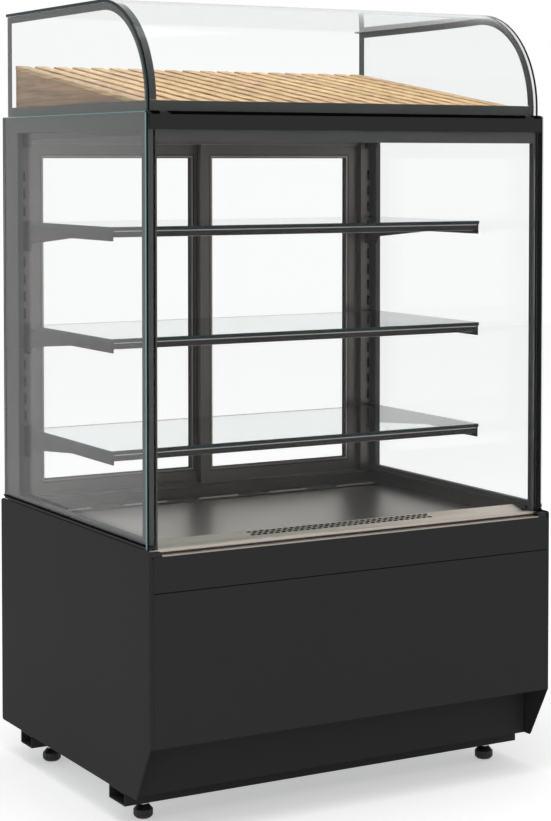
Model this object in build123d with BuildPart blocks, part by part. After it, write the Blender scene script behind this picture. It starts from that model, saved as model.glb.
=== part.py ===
from build123d import *

import os
from math import cos, radians, sin, tan

# Refrigerated pastry display case: a painted base with the cooling unit, a glazed case with three
# glass shelves and two rear sliding doors, and a curved glass bread hood with a slatted rack on top.
# Millimetres. X runs left to right as seen from the front, Y from the front to the back and Z up.
# The origin is on the floor, in the middle of the footprint.

os.makedirs("parts", exist_ok=True)

# Overall size
WIDTH = 900.0
DEPTH = 705.0
RAIL_BOTTOM = 37.0
PANEL_BOTTOM = 62.0
BASE_TOP = 532.0
CASE_TOP = 1329.0
HOOD_TOP = 1543.5

HALF = WIDTH / 2
FRONT = -DEPTH / 2
BACK = DEPTH / 2

# Sheet metal and gaps
SHEET = 1.5
SEAM = 0.2
PANEL_GAP = 0.5

# Base
SIDE_RETURN = 8.0
KICK_Y = FRONT + 78.0
SOFFIT_Z = 169.5
FASCIA_BOTTOM = 455.0
FASCIA_TOP = 521.0
REAR_FACE = BACK - 2.0
REAR_SPLIT_Z = 414.0
PANEL_HALF = HALF - SIDE_RETURN - PANEL_GAP
FRAME_TUBE = 25.0
FRAME_OUT = 440.0
FRAME_FRONT = FRONT + 17.5
FRAME_BACK = BACK - 5.5
FRAME_TOP = 505.0

# Feet
FOOT_X = 393.0
FOOT_YS = (FRONT + 145.0, FRONT + 575.0)
STUD_R = 5.0
RUNNING_GAP = 0.05

# Glazing
GLASS_OUT = 445.0
SIDE_UNIT = 20.0
PANE = 4.0
GLASS_IN = GLASS_OUT - SIDE_UNIT
FRONT_GLASS = FRONT + 19.0
FRONT_PANE = 5.0
FRONT_UNIT = 22.0
INSIDE_FRONT = FRONT_GLASS + FRONT_UNIT
CEILING_BOTTOM = 1296.0
CEILING_TOP = CASE_TOP - 2.0
REAR_LINE = BACK - 9.5
SIDE_GLASS_BOTTOM = 540.3

# Deck
DECK_TOP = 510.0
DECK_HALF = 420.2
DECK_BACK = FRONT + 624.0
TUB_WALL = 28.0

# Shelves and posts
SHELF_TOPS = (688.0, 901.5, 1114.0)
SHELF_NAMES = ("lower_glass_shelf", "middle_glass_shelf", "upper_glass_shelf")
SHELF_GLASS = 7.0
SHELF_FRONT = FRONT + 211.0
SHELF_BACK = FRONT + 600.0
SHELF_HALF = 422.0
POST_FRONT = FRONT + 640.0
POST_IN = 399.0
SLOT_TOP = 1218.0
SLOT_PITCH = 35.5
SLOT_TALL = 22.0
SLOT_WIDE = 7.0
SLOT_COUNT = 17
BRACKET_X = 418.5
BRACKET_THICK = 3.0

# Rear sliding doors
FRAME_INSIDE = 398.5
TRACK_Y = (BACK - 54.5, BACK - 9.5)
TRACK_RIB = 1.6
DOOR_DEPTH = 17.0
INNER_DOOR_Y = BACK - 51.3
OUTER_DOOR_Y = BACK - 29.6
DOOR_WIDTH = 401.0
DOOR_BOTTOM = 527.3
DOOR_TOP = 1286.0
DOOR_RAIL = 40.0
HANDLE_Z = 960.0

# Hood and rack
HOOD_HALF = 436.5
HOOD_GLASS = 6.0
HOOD_BOTTOM = CASE_TOP + 1.0
HOOD_FRONT = FRONT + 29.0
HOOD_BACK = FRONT + 696.0
HOOD_RADIUS = 200.0
TRIM_WIDE = 20.0
SLAT_COUNT = 20
SLAT_PITCH = 42.8
SLAT_WIDE = 27.0
SLAT_THICK = 9.0
RACK_FRONT = FRONT + 60.0
RACK_BACK = FRONT + 680.0
RACK_FRONT_TOP = 1345.0
RACK_SLOPE = 8.44


def block(x, y, z, mode=Mode.ADD):
    """Put a box between two corners into the open part."""
    with Locations(((x[0] + x[1]) / 2, (y[0] + y[1]) / 2, (z[0] + z[1]) / 2)):
        Box(x[1] - x[0], y[1] - y[0], z[1] - z[0], mode=mode)


def pair(x, y, z, mode=Mode.ADD):
    """Put the same box on the right and, mirrored, on the left."""
    block(x, y, z, mode)
    block((-x[1], -x[0]), y, z, mode)


def rod(start, direction, length, radius, mode=Mode.ADD):
    """Put a round rod into the open part."""
    with Locations(Plane(origin=start, z_dir=direction)):
        Cylinder(radius, length, align=(Align.CENTER, Align.CENTER, Align.MIN), mode=mode)


def save(name, part):
    """Label a finished piece and write it."""
    part.label = name
    export_step(part, f"parts/{name}.step")


# Side panels: painted sheet pans with a cut-back lower front corner
with BuildPart() as left_side_panel:
    with BuildSketch(Plane.YZ.offset(-HALF)) as panel_outline:
        with BuildLine():
            Polyline(
                (FRONT, SOFFIT_Z),
                (FRONT + 58.5, PANEL_BOTTOM),
                (BACK, PANEL_BOTTOM),
                (BACK, BASE_TOP),
                (FRONT, BASE_TOP),
                close=True,
            )
        make_face()
        fillet(panel_outline.vertices(), radius=6)
    extrude(amount=SIDE_RETURN)
    fillet(left_side_panel.faces().sort_by(Axis.X)[0].edges(), radius=2.5)
    with BuildSketch(Plane.YZ.offset(-HALF + SHEET)):
        add(panel_outline.sketch_local)
        offset(amount=-SHEET)
    extrude(amount=SIDE_RETURN, mode=Mode.SUBTRACT)
    # No return along the cut-back corner, and a narrow one under the side glass
    block(
        (-HALF + 2.6, -HALF + SIDE_RETURN + 1),
        (FRONT - 1, KICK_Y + 2),
        (PANEL_BOTTOM - 1, SOFFIT_Z),
        Mode.SUBTRACT,
    )
    block(
        (-GLASS_OUT - 0.5, -HALF + SIDE_RETURN + 1),
        (FRONT - 1, BACK + 1),
        (FASCIA_TOP - 2, BASE_TOP + 1),
        Mode.SUBTRACT,
    )
save("left_side_panel", left_side_panel.part)

with BuildPart() as right_side_panel:
    mirror(left_side_panel.part, about=Plane.YZ)
save("right_side_panel", right_side_panel.part)


# Front fascia: a folded strip whose top carries the front glass
FOLD = 14.0
with BuildPart() as front_fascia:
    block((-PANEL_HALF, PANEL_HALF), (FRONT, FRONT + SHEET), (FASCIA_BOTTOM, FASCIA_TOP))
    block((-PANEL_HALF, PANEL_HALF), (FRONT, INSIDE_FRONT), (FASCIA_TOP - SHEET, FASCIA_TOP))
    block((-PANEL_HALF, PANEL_HALF), (FRONT, FRONT + FOLD), (FASCIA_BOTTOM, FASCIA_BOTTOM + SHEET))
    fillet(front_fascia.edges().filter_by(Axis.X).group_by(Axis.Y)[0], radius=1)
save("front_fascia", front_fascia.part)


# Front lower panel: a folded tray that hangs below the fascia
LOWER_TOP = FASCIA_BOTTOM - SHEET
LOWER_BOTTOM = SOFFIT_Z + SEAM
with BuildPart() as front_lower_panel:
    block((-PANEL_HALF, PANEL_HALF), (FRONT, FRONT + FOLD), (LOWER_BOTTOM, LOWER_TOP))
    fillet(front_lower_panel.edges().filter_by(Axis.X).group_by(Axis.Y)[0], radius=1)
    block(
        (-PANEL_HALF + SHEET, PANEL_HALF - SHEET),
        (FRONT + SHEET, FRONT + FOLD + 1),
        (LOWER_BOTTOM + SHEET, LOWER_TOP - SHEET),
        Mode.SUBTRACT,
    )
save("front_lower_panel", front_lower_panel.part)


# Kick plate: set back under the front, with the soffit that closes the step
KICK_HALF = HALF - 4.0
KICK_FOOT = PANEL_BOTTOM + SEAM
with BuildPart() as kick_plate:
    block((-KICK_HALF, KICK_HALF), (FRONT + 2.2, KICK_Y + SHEET), (SOFFIT_Z - SHEET, SOFFIT_Z))
    block((-KICK_HALF, KICK_HALF), (KICK_Y, KICK_Y + SHEET), (KICK_FOOT, SOFFIT_Z))
    block(
        (-PANEL_HALF, PANEL_HALF),
        (KICK_Y, KICK_Y + FOLD),
        (KICK_FOOT, KICK_FOOT + SHEET),
    )
save("kick_plate", kick_plate.part)


# Cross rails: two box tubes under the base that the feet screw into
RAIL_WALL = 2.5
RAIL_YS = ((FRONT + 110.5, FRONT + 179.0), (FRONT + 551.0, FRONT + 607.0))
RAIL_HALF = HALF - 2.0
RAIL_TOP = PANEL_BOTTOM - SEAM
with BuildPart() as cross_rails:
    for rail_y in RAIL_YS:
        block((-RAIL_HALF, RAIL_HALF), rail_y, (RAIL_BOTTOM, RAIL_TOP))
        block(
            (-HALF, HALF),
            (rail_y[0] + RAIL_WALL, rail_y[1] - RAIL_WALL),
            (RAIL_BOTTOM + RAIL_WALL, RAIL_TOP - RAIL_WALL),
            Mode.SUBTRACT,
        )
    for foot_y in FOOT_YS:
        for side in (-1, 1):
            rod(
                (side * FOOT_X, foot_y, RAIL_BOTTOM - 1),
                (0, 0, 1),
                RAIL_WALL + 2,
                STUD_R + RUNNING_GAP,
                Mode.SUBTRACT,
            )
save("cross_rails", cross_rails.part)


# Base tray: the floor of the machine space
GLAND_AT = (-380.0, 300.0)
GLAND_R = 10.0
TRAY_TOP = PANEL_BOTTOM + 2.0
with BuildPart() as base_tray:
    block((-441.0, 441.0), (FRONT + 94.5, BACK - 4.5), (PANEL_BOTTOM, TRAY_TOP))
    rod((*GLAND_AT, PANEL_BOTTOM - 1), (0, 0, 1), 4, GLAND_R + SEAM, Mode.SUBTRACT)
save("base_tray", base_tray.part)


# Inner frame: tubes with open ends for the corner posts, top rails and the sills under the side glass
SCREW_X = 427.5
SCREW_ZS = (90.0, 250.0, 395.0, 440.0)
SCREW_R = 2.0
SCREW_TIP = REAR_FACE - 12.0
FRAME_IN = FRAME_OUT - FRAME_TUBE
FRAME_WALL = 2.0
POST_TOP = FRAME_TOP - FRAME_TUBE - SEAM
FRONT_POST = (KICK_Y + 6.5, KICK_Y + 6.5 + FRAME_TUBE)
REAR_POST = (FRAME_BACK - FRAME_TUBE, FRAME_BACK)


def tube_bore(span, run):
    """One span of a tube's bore: drawn in by the wall, or a hair past the end along the tube's run."""
    return (span[0] - 0.05, span[1] + 0.05) if run else (span[0] + FRAME_WALL, span[1] - FRAME_WALL)


def tube(x, y, z, along, sides=1):
    """A rectangular tube whose bore runs along one axis, and with two sides also its mirror image."""
    make = pair if sides == 2 else block
    make(x, y, z)
    make(
        tube_bore(x, along == "x"),
        tube_bore(y, along == "y"),
        tube_bore(z, along == "z"),
        Mode.SUBTRACT,
    )


with BuildPart() as inner_frame:
    for post_y in (FRONT_POST, REAR_POST):
        tube((FRAME_IN, FRAME_OUT), post_y, (TRAY_TOP + SEAM, POST_TOP), "z", 2)
    for rail_y in ((FRAME_FRONT, FRAME_FRONT + FRAME_TUBE), REAR_POST):
        tube((-FRAME_OUT, FRAME_OUT), rail_y, (FRAME_TOP - FRAME_TUBE, FRAME_TOP), "x")
    tube(
        (FRAME_IN, FRAME_OUT),
        (FRAME_FRONT + FRAME_TUBE + SEAM, REAR_POST[0] - SEAM),
        (FRAME_TOP - FRAME_TUBE, FRAME_TOP),
        "y",
        2,
    )
    tube(
        (GLASS_IN - 0.1, FRAME_OUT),
        (INSIDE_FRONT + 2.5, BACK - 12.5),
        (FRAME_TOP + SEAM, BASE_TOP),
        "y",
        2,
    )
    tube((-424.0, 424.0), REAR_POST, (FRAME_TOP + SEAM, FASCIA_TOP + 0.8), "x")
    for screw_z in SCREW_ZS:
        for side in (-1, 1):
            rod(
                (side * SCREW_X, SCREW_TIP - 1, screw_z),
                (0, 1, 0),
                14,
                SCREW_R + SEAM,
                Mode.SUBTRACT,
            )
save("inner_frame", inner_frame.part)


# Rear panels: the control panel above and the vent panel below
CONTROL_Z = 447.0
CONTROLLER_X = 250.0
SWITCH_XS = {"power_switch": 150.0, "light_switch": 110.0}
with BuildPart() as rear_control_panel:
    block((-PANEL_HALF, PANEL_HALF), (REAR_FACE - 2, REAR_FACE), (REAR_SPLIT_Z, FASCIA_TOP + 1))
    with Locations((CONTROLLER_X, REAR_FACE, CONTROL_Z)):
        Box(71, 10, 29, mode=Mode.SUBTRACT)
    for switch_x in SWITCH_XS.values():
        with Locations((switch_x, REAR_FACE, CONTROL_Z)):
            Box(19.4, 10, 27.4, mode=Mode.SUBTRACT)
    for side in (-1, 1):
        rod(
            (side * SCREW_X, REAR_FACE - 5, SCREW_ZS[-1]),
            (0, 1, 0),
            10,
            SCREW_R + SEAM,
            Mode.SUBTRACT,
        )
save("rear_control_panel", rear_control_panel.part)

VENT_SLOT = (84.0, 6.0)
with BuildPart() as rear_vent_panel:
    block(
        (-PANEL_HALF, PANEL_HALF),
        (REAR_FACE - 2, REAR_FACE),
        (PANEL_BOTTOM + 4, REAR_SPLIT_Z - 1.5),
    )
    with BuildSketch(Plane.XZ.offset(-REAR_FACE - 1)):
        with Locations((-200, 185), (200, 185)):
            with GridLocations(96, 15, 3, 13):
                SlotOverall(*VENT_SLOT)
    extrude(amount=4, mode=Mode.SUBTRACT)
    for screw_z in SCREW_ZS[:-1]:
        for side in (-1, 1):
            rod(
                (side * SCREW_X, REAR_FACE - 5, screw_z),
                (0, 1, 0),
                10,
                SCREW_R + SEAM,
                Mode.SUBTRACT,
            )
save("rear_vent_panel", rear_vent_panel.part)

with BuildPart() as panel_screws:
    for screw_z in SCREW_ZS:
        for side in (-1, 1):
            rod((side * SCREW_X, SCREW_TIP, screw_z), (0, 1, 0), 12, SCREW_R)
            rod((side * SCREW_X, REAR_FACE, screw_z), (0, 1, 0), 1.8, 4)
save("panel_screws", panel_screws.part)


# Feet: a chamfered puck on a threaded stud, held by a lock nut under the rail
FOOT_R = 18.0
FOOT_TALL = 26.0
STUD_TOP = 57.0
for foot_y, depth_name in zip(FOOT_YS, ("front", "rear")):
    for side, side_name in ((-1, "left"), (1, "right")):
        with BuildPart() as foot:
            with BuildSketch(Plane.XZ) as foot_profile:
                with BuildLine():
                    Polyline(
                        (0, 0),
                        (FOOT_R - 4, 0),
                        (FOOT_R, 4),
                        (FOOT_R, FOOT_TALL - 9),
                        (FOOT_R - 8, FOOT_TALL),
                        (STUD_R, FOOT_TALL),
                        (STUD_R, STUD_TOP),
                        (0, STUD_TOP),
                        close=True,
                    )
                make_face()
            revolve(axis=Axis.Z)
        foot.part.position = (side * FOOT_X, foot_y, 0)
        save(f"{depth_name}_{side_name}_foot", foot.part)

NUT_FLATS = 17.0
with BuildPart() as foot_lock_nuts:
    for foot_y in FOOT_YS:
        for side in (-1, 1):
            with BuildSketch(Plane.XY.offset(FOOT_TALL + SEAM)):
                with Locations((side * FOOT_X, foot_y)):
                    RegularPolygon(NUT_FLATS / 2, 6, major_radius=False)
                    Circle(STUD_R + RUNNING_GAP, mode=Mode.SUBTRACT)
            extrude(amount=RAIL_BOTTOM - FOOT_TALL - 2 * SEAM)
save("foot_lock_nuts", foot_lock_nuts.part)


# Insulated tub: the foamed box under the deck that holds the evaporator
TUB_X = 412.0
TUB_Y = 306.0
TUB_BOTTOM = 405.0
TUB_TOP = DECK_TOP - SHEET - 0.3
TUB_FLOOR = TUB_BOTTOM + TUB_WALL
LIQUID_AT = (-60.0, 200.0)
SUCTION_AT = (-100.0, 180.0)
DRAIN_AT = (-340.0, 0.0)
with BuildPart() as insulated_tub:
    block((-TUB_X, TUB_X), (-TUB_Y, TUB_Y), (TUB_BOTTOM, TUB_TOP))
    block(
        (-TUB_X + TUB_WALL, TUB_X - TUB_WALL),
        (-TUB_Y + TUB_WALL, TUB_Y - TUB_WALL),
        (TUB_FLOOR, TUB_TOP + 1),
        Mode.SUBTRACT,
    )
    for hole_at in (LIQUID_AT, SUCTION_AT, DRAIN_AT):
        rod((*hole_at, TUB_BOTTOM - 1), (0, 0, 1), TUB_WALL + 2, 8, Mode.SUBTRACT)
save("insulated_tub", insulated_tub.part)


# Deck tray: the brushed display floor, with the cold air outlet cut out at the back
GRILLE_BACK_LEG = FRONT + 91.2
with BuildPart() as deck_tray:
    block(
        (-DECK_HALF, DECK_HALF),
        (GRILLE_BACK_LEG + SEAM, DECK_BACK - 5.2),
        (DECK_TOP - SHEET, DECK_TOP),
    )
    block((-400.0, 400.0), (232.0, 260.0), (DECK_TOP - 5, DECK_TOP + 5), Mode.SUBTRACT)
save("deck_tray", deck_tray.part)


# Deck trims: the upstands round the deck and the bright ledge in front of the glass
FLANGE_TOP = SIDE_GLASS_BOTTOM - 0.3
with BuildPart() as deck_trims:
    pair(
        (DECK_HALF + 0.3, DECK_HALF + 0.3 + SHEET),
        (INSIDE_FRONT + 0.5, DECK_BACK + SHEET),
        (DECK_TOP - SHEET, FLANGE_TOP),
    )
    pair(
        (DECK_HALF + 0.3, GLASS_OUT + 1.5),
        (INSIDE_FRONT + 0.5, DECK_BACK + SHEET),
        (FLANGE_TOP - SHEET, FLANGE_TOP),
    )
    block(
        (-DECK_HALF, DECK_HALF),
        (DECK_BACK - 4.5, DECK_BACK - 3),
        (DECK_TOP + SEAM, 535.5),
    )
    block((-FRAME_INSIDE, FRAME_INSIDE), (DECK_BACK - 4.5, TRACK_Y[0] - 0.7), (534.0, 535.5))
    block((-423.0, 423.0), (FRONT + 2, FRONT_GLASS - 1.5), (FASCIA_TOP + 0.1, FASCIA_TOP + 1.6))
save("deck_trims", deck_trims.part)


# Front air grille: a low ridge behind the glass with three rows of staggered slots
GRILLE_SLOT = (12.0, 5.0)
GRILLE_PITCH = 13.4
GRILLE_ROW = 7.7
GRILLE_ROW_Y = FRONT + 72.0
with BuildPart() as front_air_grille:
    with BuildSketch(Plane.YZ.offset(-DECK_HALF)):
        with BuildLine():
            Polyline(
                (INSIDE_FRONT + 0.5, 521.5),
                (FRONT + 60.5, 531.5),
                (FRONT + 86.5, 536.5),
                (GRILLE_BACK_LEG, DECK_TOP - SHEET),
                (GRILLE_BACK_LEG - SHEET, DECK_TOP - SHEET),
                (FRONT + 85.2, 534.7),
                (FRONT + 61.0, 530.0),
                (INSIDE_FRONT + 0.5, 519.8),
                close=True,
            )
        make_face()
    extrude(amount=2 * DECK_HALF)
    with BuildSketch(Plane.XY.offset(545)):
        with Locations((0, GRILLE_ROW_Y)):
            with GridLocations(GRILLE_PITCH, 2 * GRILLE_ROW, 31, 2):
                SlotOverall(*GRILLE_SLOT)
            with GridLocations(GRILLE_PITCH, 1, 30, 1):
                SlotOverall(*GRILLE_SLOT)
    extrude(amount=-22, mode=Mode.SUBTRACT)
save("front_air_grille", front_air_grille.part)


# Rear air grille: five groups of slots over the cold air outlet
LOUVRE_TOP = DECK_TOP + 4.0
with BuildPart() as rear_air_grille:
    block((-415.0, 415.0), (FRONT + 577.0, DECK_BACK - 5.2), (DECK_TOP + 0.1, LOUVRE_TOP))
    block(
        (-413.8, 413.8),
        (FRONT + 578.2, DECK_BACK - 4),
        (DECK_TOP, LOUVRE_TOP - 1.2),
        Mode.SUBTRACT,
    )
    with BuildSketch(Plane.XY.offset(LOUVRE_TOP + 1)):
        with Locations((0, FRONT + 597.0)):
            with GridLocations(172.8, 1, 5, 1):
                with GridLocations(10, 1, 10, 1):
                    SlotOverall(32, 5, rotation=90)
    extrude(amount=-3, mode=Mode.SUBTRACT)
save("rear_air_grille", rear_air_grille.part)


# Glazing seals: under the front unit, the lower front corners and the side units
with BuildPart() as glazing_seals:
    block(
        (-GLASS_OUT + SEAM, GLASS_OUT - SEAM),
        (FRONT_GLASS - 0.8, INSIDE_FRONT - 0.1),
        (FASCIA_TOP + 0.1, FASCIA_TOP + 2.8),
    )
    pair(
        (423.6, GLASS_OUT - SEAM),
        (FRONT + 2.5, FRONT_GLASS - 1.0),
        (FASCIA_TOP + 0.1, FASCIA_TOP + 8),
    )
    pair(
        (GLASS_IN - 0.1, GLASS_OUT + SEAM),
        (FRONT_GLASS + FRONT_PANE + 0.3, REAR_LINE),
        (BASE_TOP + 0.3, FLANGE_TOP - SHEET - SEAM),
    )
save("glazing_seals", glazing_seals.part)


# Insulating glass: a stepped front unit whose outer pane laps the two side units
FRONT_GLASS_BOTTOM = FASCIA_TOP + 3.0
FRONT_INNER_HALF = GLASS_IN - 0.4
with BuildPart() as front_glass:
    block(
        (-GLASS_OUT, GLASS_OUT),
        (FRONT_GLASS, FRONT_GLASS + FRONT_PANE),
        (FRONT_GLASS_BOTTOM, CEILING_TOP),
    )
    block(
        (-FRONT_INNER_HALF, FRONT_INNER_HALF),
        (INSIDE_FRONT - PANE, INSIDE_FRONT),
        (FRONT_GLASS_BOTTOM, CEILING_TOP),
    )
save("front_glass", front_glass.part)

SIDE_GLASS_Y = (FRONT_GLASS + FRONT_PANE + 0.1, REAR_LINE)
with BuildPart() as right_side_glass:
    for pane_x in (GLASS_IN, GLASS_OUT - PANE):
        block((pane_x, pane_x + PANE), SIDE_GLASS_Y, (SIDE_GLASS_BOTTOM, CASE_TOP))
save("right_side_glass", right_side_glass.part)

with BuildPart() as left_side_glass:
    mirror(right_side_glass.part, about=Plane.YZ)
save("left_side_glass", left_side_glass.part)


# Glass spacers: the dark edge bars sealed between the panes
BORDER_TOP = 1274.0
SIDE_BAR_X = (GLASS_IN + PANE + 0.1, GLASS_OUT - PANE - 0.1)
SIDE_BAR_FRONT = (SIDE_GLASS_Y[0], SIDE_GLASS_Y[0] + 19.0)
SIDE_BAR_REAR = (REAR_LINE - 73.0, REAR_LINE)
SIDE_BAR_BOTTOM = SIDE_GLASS_BOTTOM + 8.0
FRONT_BAR_Y = (FRONT_GLASS + FRONT_PANE + 0.1, INSIDE_FRONT - PANE - 0.1)
with BuildPart() as glass_spacers:
    pair(SIDE_BAR_X, SIDE_BAR_FRONT, (SIDE_GLASS_BOTTOM, CASE_TOP))
    pair(SIDE_BAR_X, SIDE_BAR_REAR, (SIDE_GLASS_BOTTOM, CASE_TOP))
    for bar_z in ((SIDE_GLASS_BOTTOM, SIDE_BAR_BOTTOM), (CEILING_BOTTOM, CASE_TOP)):
        pair(SIDE_BAR_X, (SIDE_BAR_FRONT[1] + SEAM, SIDE_BAR_REAR[0] - SEAM), bar_z)
    pair((421.5, FRONT_INNER_HALF), FRONT_BAR_Y, (FRONT_GLASS_BOTTOM, CEILING_TOP))
    for bar_z in ((FRONT_GLASS_BOTTOM, FRONT_GLASS_BOTTOM + 6), (BORDER_TOP, CEILING_TOP)):
        block((-421.5 + SEAM, 421.5 - SEAM), FRONT_BAR_Y, bar_z)
save("glass_spacers", glass_spacers.part)


# Slotted posts: channels in the rear corners that the shelf brackets hook into
with BuildPart() as slotted_posts:
    pair(
        (POST_IN, FRONT_INNER_HALF),
        (POST_FRONT, TRACK_Y[0] - 0.5),
        (FASCIA_TOP + 3, CEILING_BOTTOM - SEAM),
    )
    pair(
        (POST_IN + SHEET, FRONT_INNER_HALF - SHEET),
        (POST_FRONT + SHEET, TRACK_Y[0]),
        (FASCIA_TOP, CEILING_BOTTOM),
        Mode.SUBTRACT,
    )
    for index in range(SLOT_COUNT):
        slot_z = SLOT_TOP - index * SLOT_PITCH
        pair(
            (BRACKET_X - SLOT_WIDE / 2, BRACKET_X + SLOT_WIDE / 2),
            (POST_FRONT - 1, POST_FRONT + SHEET + 1),
            (slot_z - SLOT_TALL, slot_z),
            Mode.SUBTRACT,
        )
save("slotted_posts", slotted_posts.part)


# Rear door frame: two jambs, and top and bottom tracks with two channels each
TRACK_HALF = FRAME_INSIDE - SEAM
RIB_YS = (TRACK_Y[0], BACK - 32.8, TRACK_Y[1] - TRACK_RIB)
BOTTOM_WEB = (FASCIA_TOP + 3, FASCIA_TOP + 6)
TOP_WEB = (1290.0, CEILING_BOTTOM - SEAM)
with BuildPart() as rear_door_frame:
    pair(
        (FRAME_INSIDE, FRONT_INNER_HALF),
        TRACK_Y,
        (BOTTOM_WEB[0], TOP_WEB[1]),
    )
    block((-TRACK_HALF, TRACK_HALF), TRACK_Y, BOTTOM_WEB)
    block((-TRACK_HALF, TRACK_HALF), TRACK_Y, TOP_WEB)
    for rib_y in RIB_YS:
        rib = (rib_y, rib_y + TRACK_RIB)
        block((-TRACK_HALF, TRACK_HALF), rib, (BOTTOM_WEB[0], 536.0))
        block((-TRACK_HALF, TRACK_HALF), rib, (1275.0, TOP_WEB[1]))
save("rear_door_frame", rear_door_frame.part)


# Header rail and ceiling
with BuildPart() as header_rail:
    block((-438.0, 438.0), (FRONT_GLASS - 2.1, FRONT_GLASS - 0.1), (CEILING_BOTTOM + 0.5, CEILING_TOP))
save("header_rail", header_rail.part)

with BuildPart() as ceiling_panel:
    block(
        (-FRONT_INNER_HALF, FRONT_INNER_HALF),
        (INSIDE_FRONT + SEAM, REAR_LINE),
        (CEILING_BOTTOM, CEILING_TOP),
    )
save("ceiling_panel", ceiling_panel.part)


# Glass shelves
for shelf_name, shelf_top in zip(SHELF_NAMES, SHELF_TOPS):
    with BuildPart() as glass_shelf:
        block(
            (-SHELF_HALF, SHELF_HALF),
            (SHELF_FRONT, SHELF_BACK),
            (shelf_top - SHELF_GLASS, shelf_top),
        )
        chamfer(glass_shelf.edges(), length=0.6)
    save(shelf_name, glass_shelf.part)


# Shelf brackets: plates that hook into the posts, and a short pair that stiffens the ceiling
HOOK = 5.0
with BuildPart() as shelf_brackets:
    for side in (-1, 1):
        plate_x = side * BRACKET_X - BRACKET_THICK / 2
        for top in SHELF_TOPS:
            glass_under = top - SHELF_GLASS - SEAM
            with BuildSketch(Plane.YZ.offset(plate_x)):
                with BuildLine():
                    Polyline(
                        (SHELF_FRONT, glass_under),
                        (SHELF_FRONT, top - 27),
                        (FRONT + 400, top - 27),
                        (SHELF_BACK, top - 45),
                        (SHELF_BACK + 8, top - 61),
                        (POST_FRONT - 0.5, top - 61),
                        (POST_FRONT - 0.5, top + 1),
                        (SHELF_BACK + 5, top + 1),
                        (SHELF_BACK + 5, glass_under),
                        close=True,
                    )
                make_face()
            extrude(amount=BRACKET_THICK)
            for hook_top in (top - 5, top - 40.5):
                block(
                    (plate_x, plate_x + BRACKET_THICK),
                    (POST_FRONT - 2, POST_FRONT - 0.5 + HOOK),
                    (hook_top - 16, hook_top),
                )
        with BuildSketch(Plane.YZ.offset(plate_x)):
            with BuildLine():
                Polyline(
                    (INSIDE_FRONT + 40, CEILING_BOTTOM - SEAM),
                    (INSIDE_FRONT + 40, CEILING_BOTTOM - 10),
                    (SHELF_BACK, CEILING_BOTTOM - 14),
                    (SHELF_BACK + 8, CEILING_BOTTOM - 29),
                    (POST_FRONT - 0.5, CEILING_BOTTOM - 29),
                    (POST_FRONT - 0.5, CEILING_BOTTOM - SEAM),
                    close=True,
                )
            make_face()
        extrude(amount=BRACKET_THICK)
save("shelf_brackets", shelf_brackets.part)


# Lights: a bar under each shelf's front edge and one under the ceiling
LIGHT_HALF = BRACKET_X - BRACKET_THICK / 2 - 0.4
with BuildPart() as led_lights:
    for top in SHELF_TOPS:
        block(
            (-LIGHT_HALF, LIGHT_HALF),
            (SHELF_FRONT + 0.5, SHELF_FRONT + 18.5),
            (top - 19.5, top - SHELF_GLASS - SEAM),
        )
    block(
        (-400.0, 400.0),
        (INSIDE_FRONT + 5, INSIDE_FRONT + 25),
        (CEILING_BOTTOM - 12, CEILING_BOTTOM - 0.1),
    )
    fillet(led_lights.edges().filter_by(Axis.X), radius=1.5)
save("led_lights", led_lights.part)


def mitre_corners(x, z, wide):
    """Corners of the four mitred members of a sash: left, right, bottom and top, a hair apart."""
    in_x = (x[0] + wide[0], x[1] - wide[1])
    in_z = (z[0] + wide[2], z[1] - wide[2])
    slip = 0.1
    return (
        ((x[0], z[0] + slip), (in_x[0], in_z[0] + slip), (in_x[0], in_z[1] - slip), (x[0], z[1] - slip)),
        ((x[1], z[0] + slip), (x[1], z[1] - slip), (in_x[1], in_z[1] - slip), (in_x[1], in_z[0] + slip)),
        ((x[0], z[0]), (x[1], z[0]), (in_x[1], in_z[0]), (in_x[0], in_z[0])),
        ((x[0], z[1]), (in_x[0], in_z[1]), (in_x[1], in_z[1]), (x[1], z[1])),
    )


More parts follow.
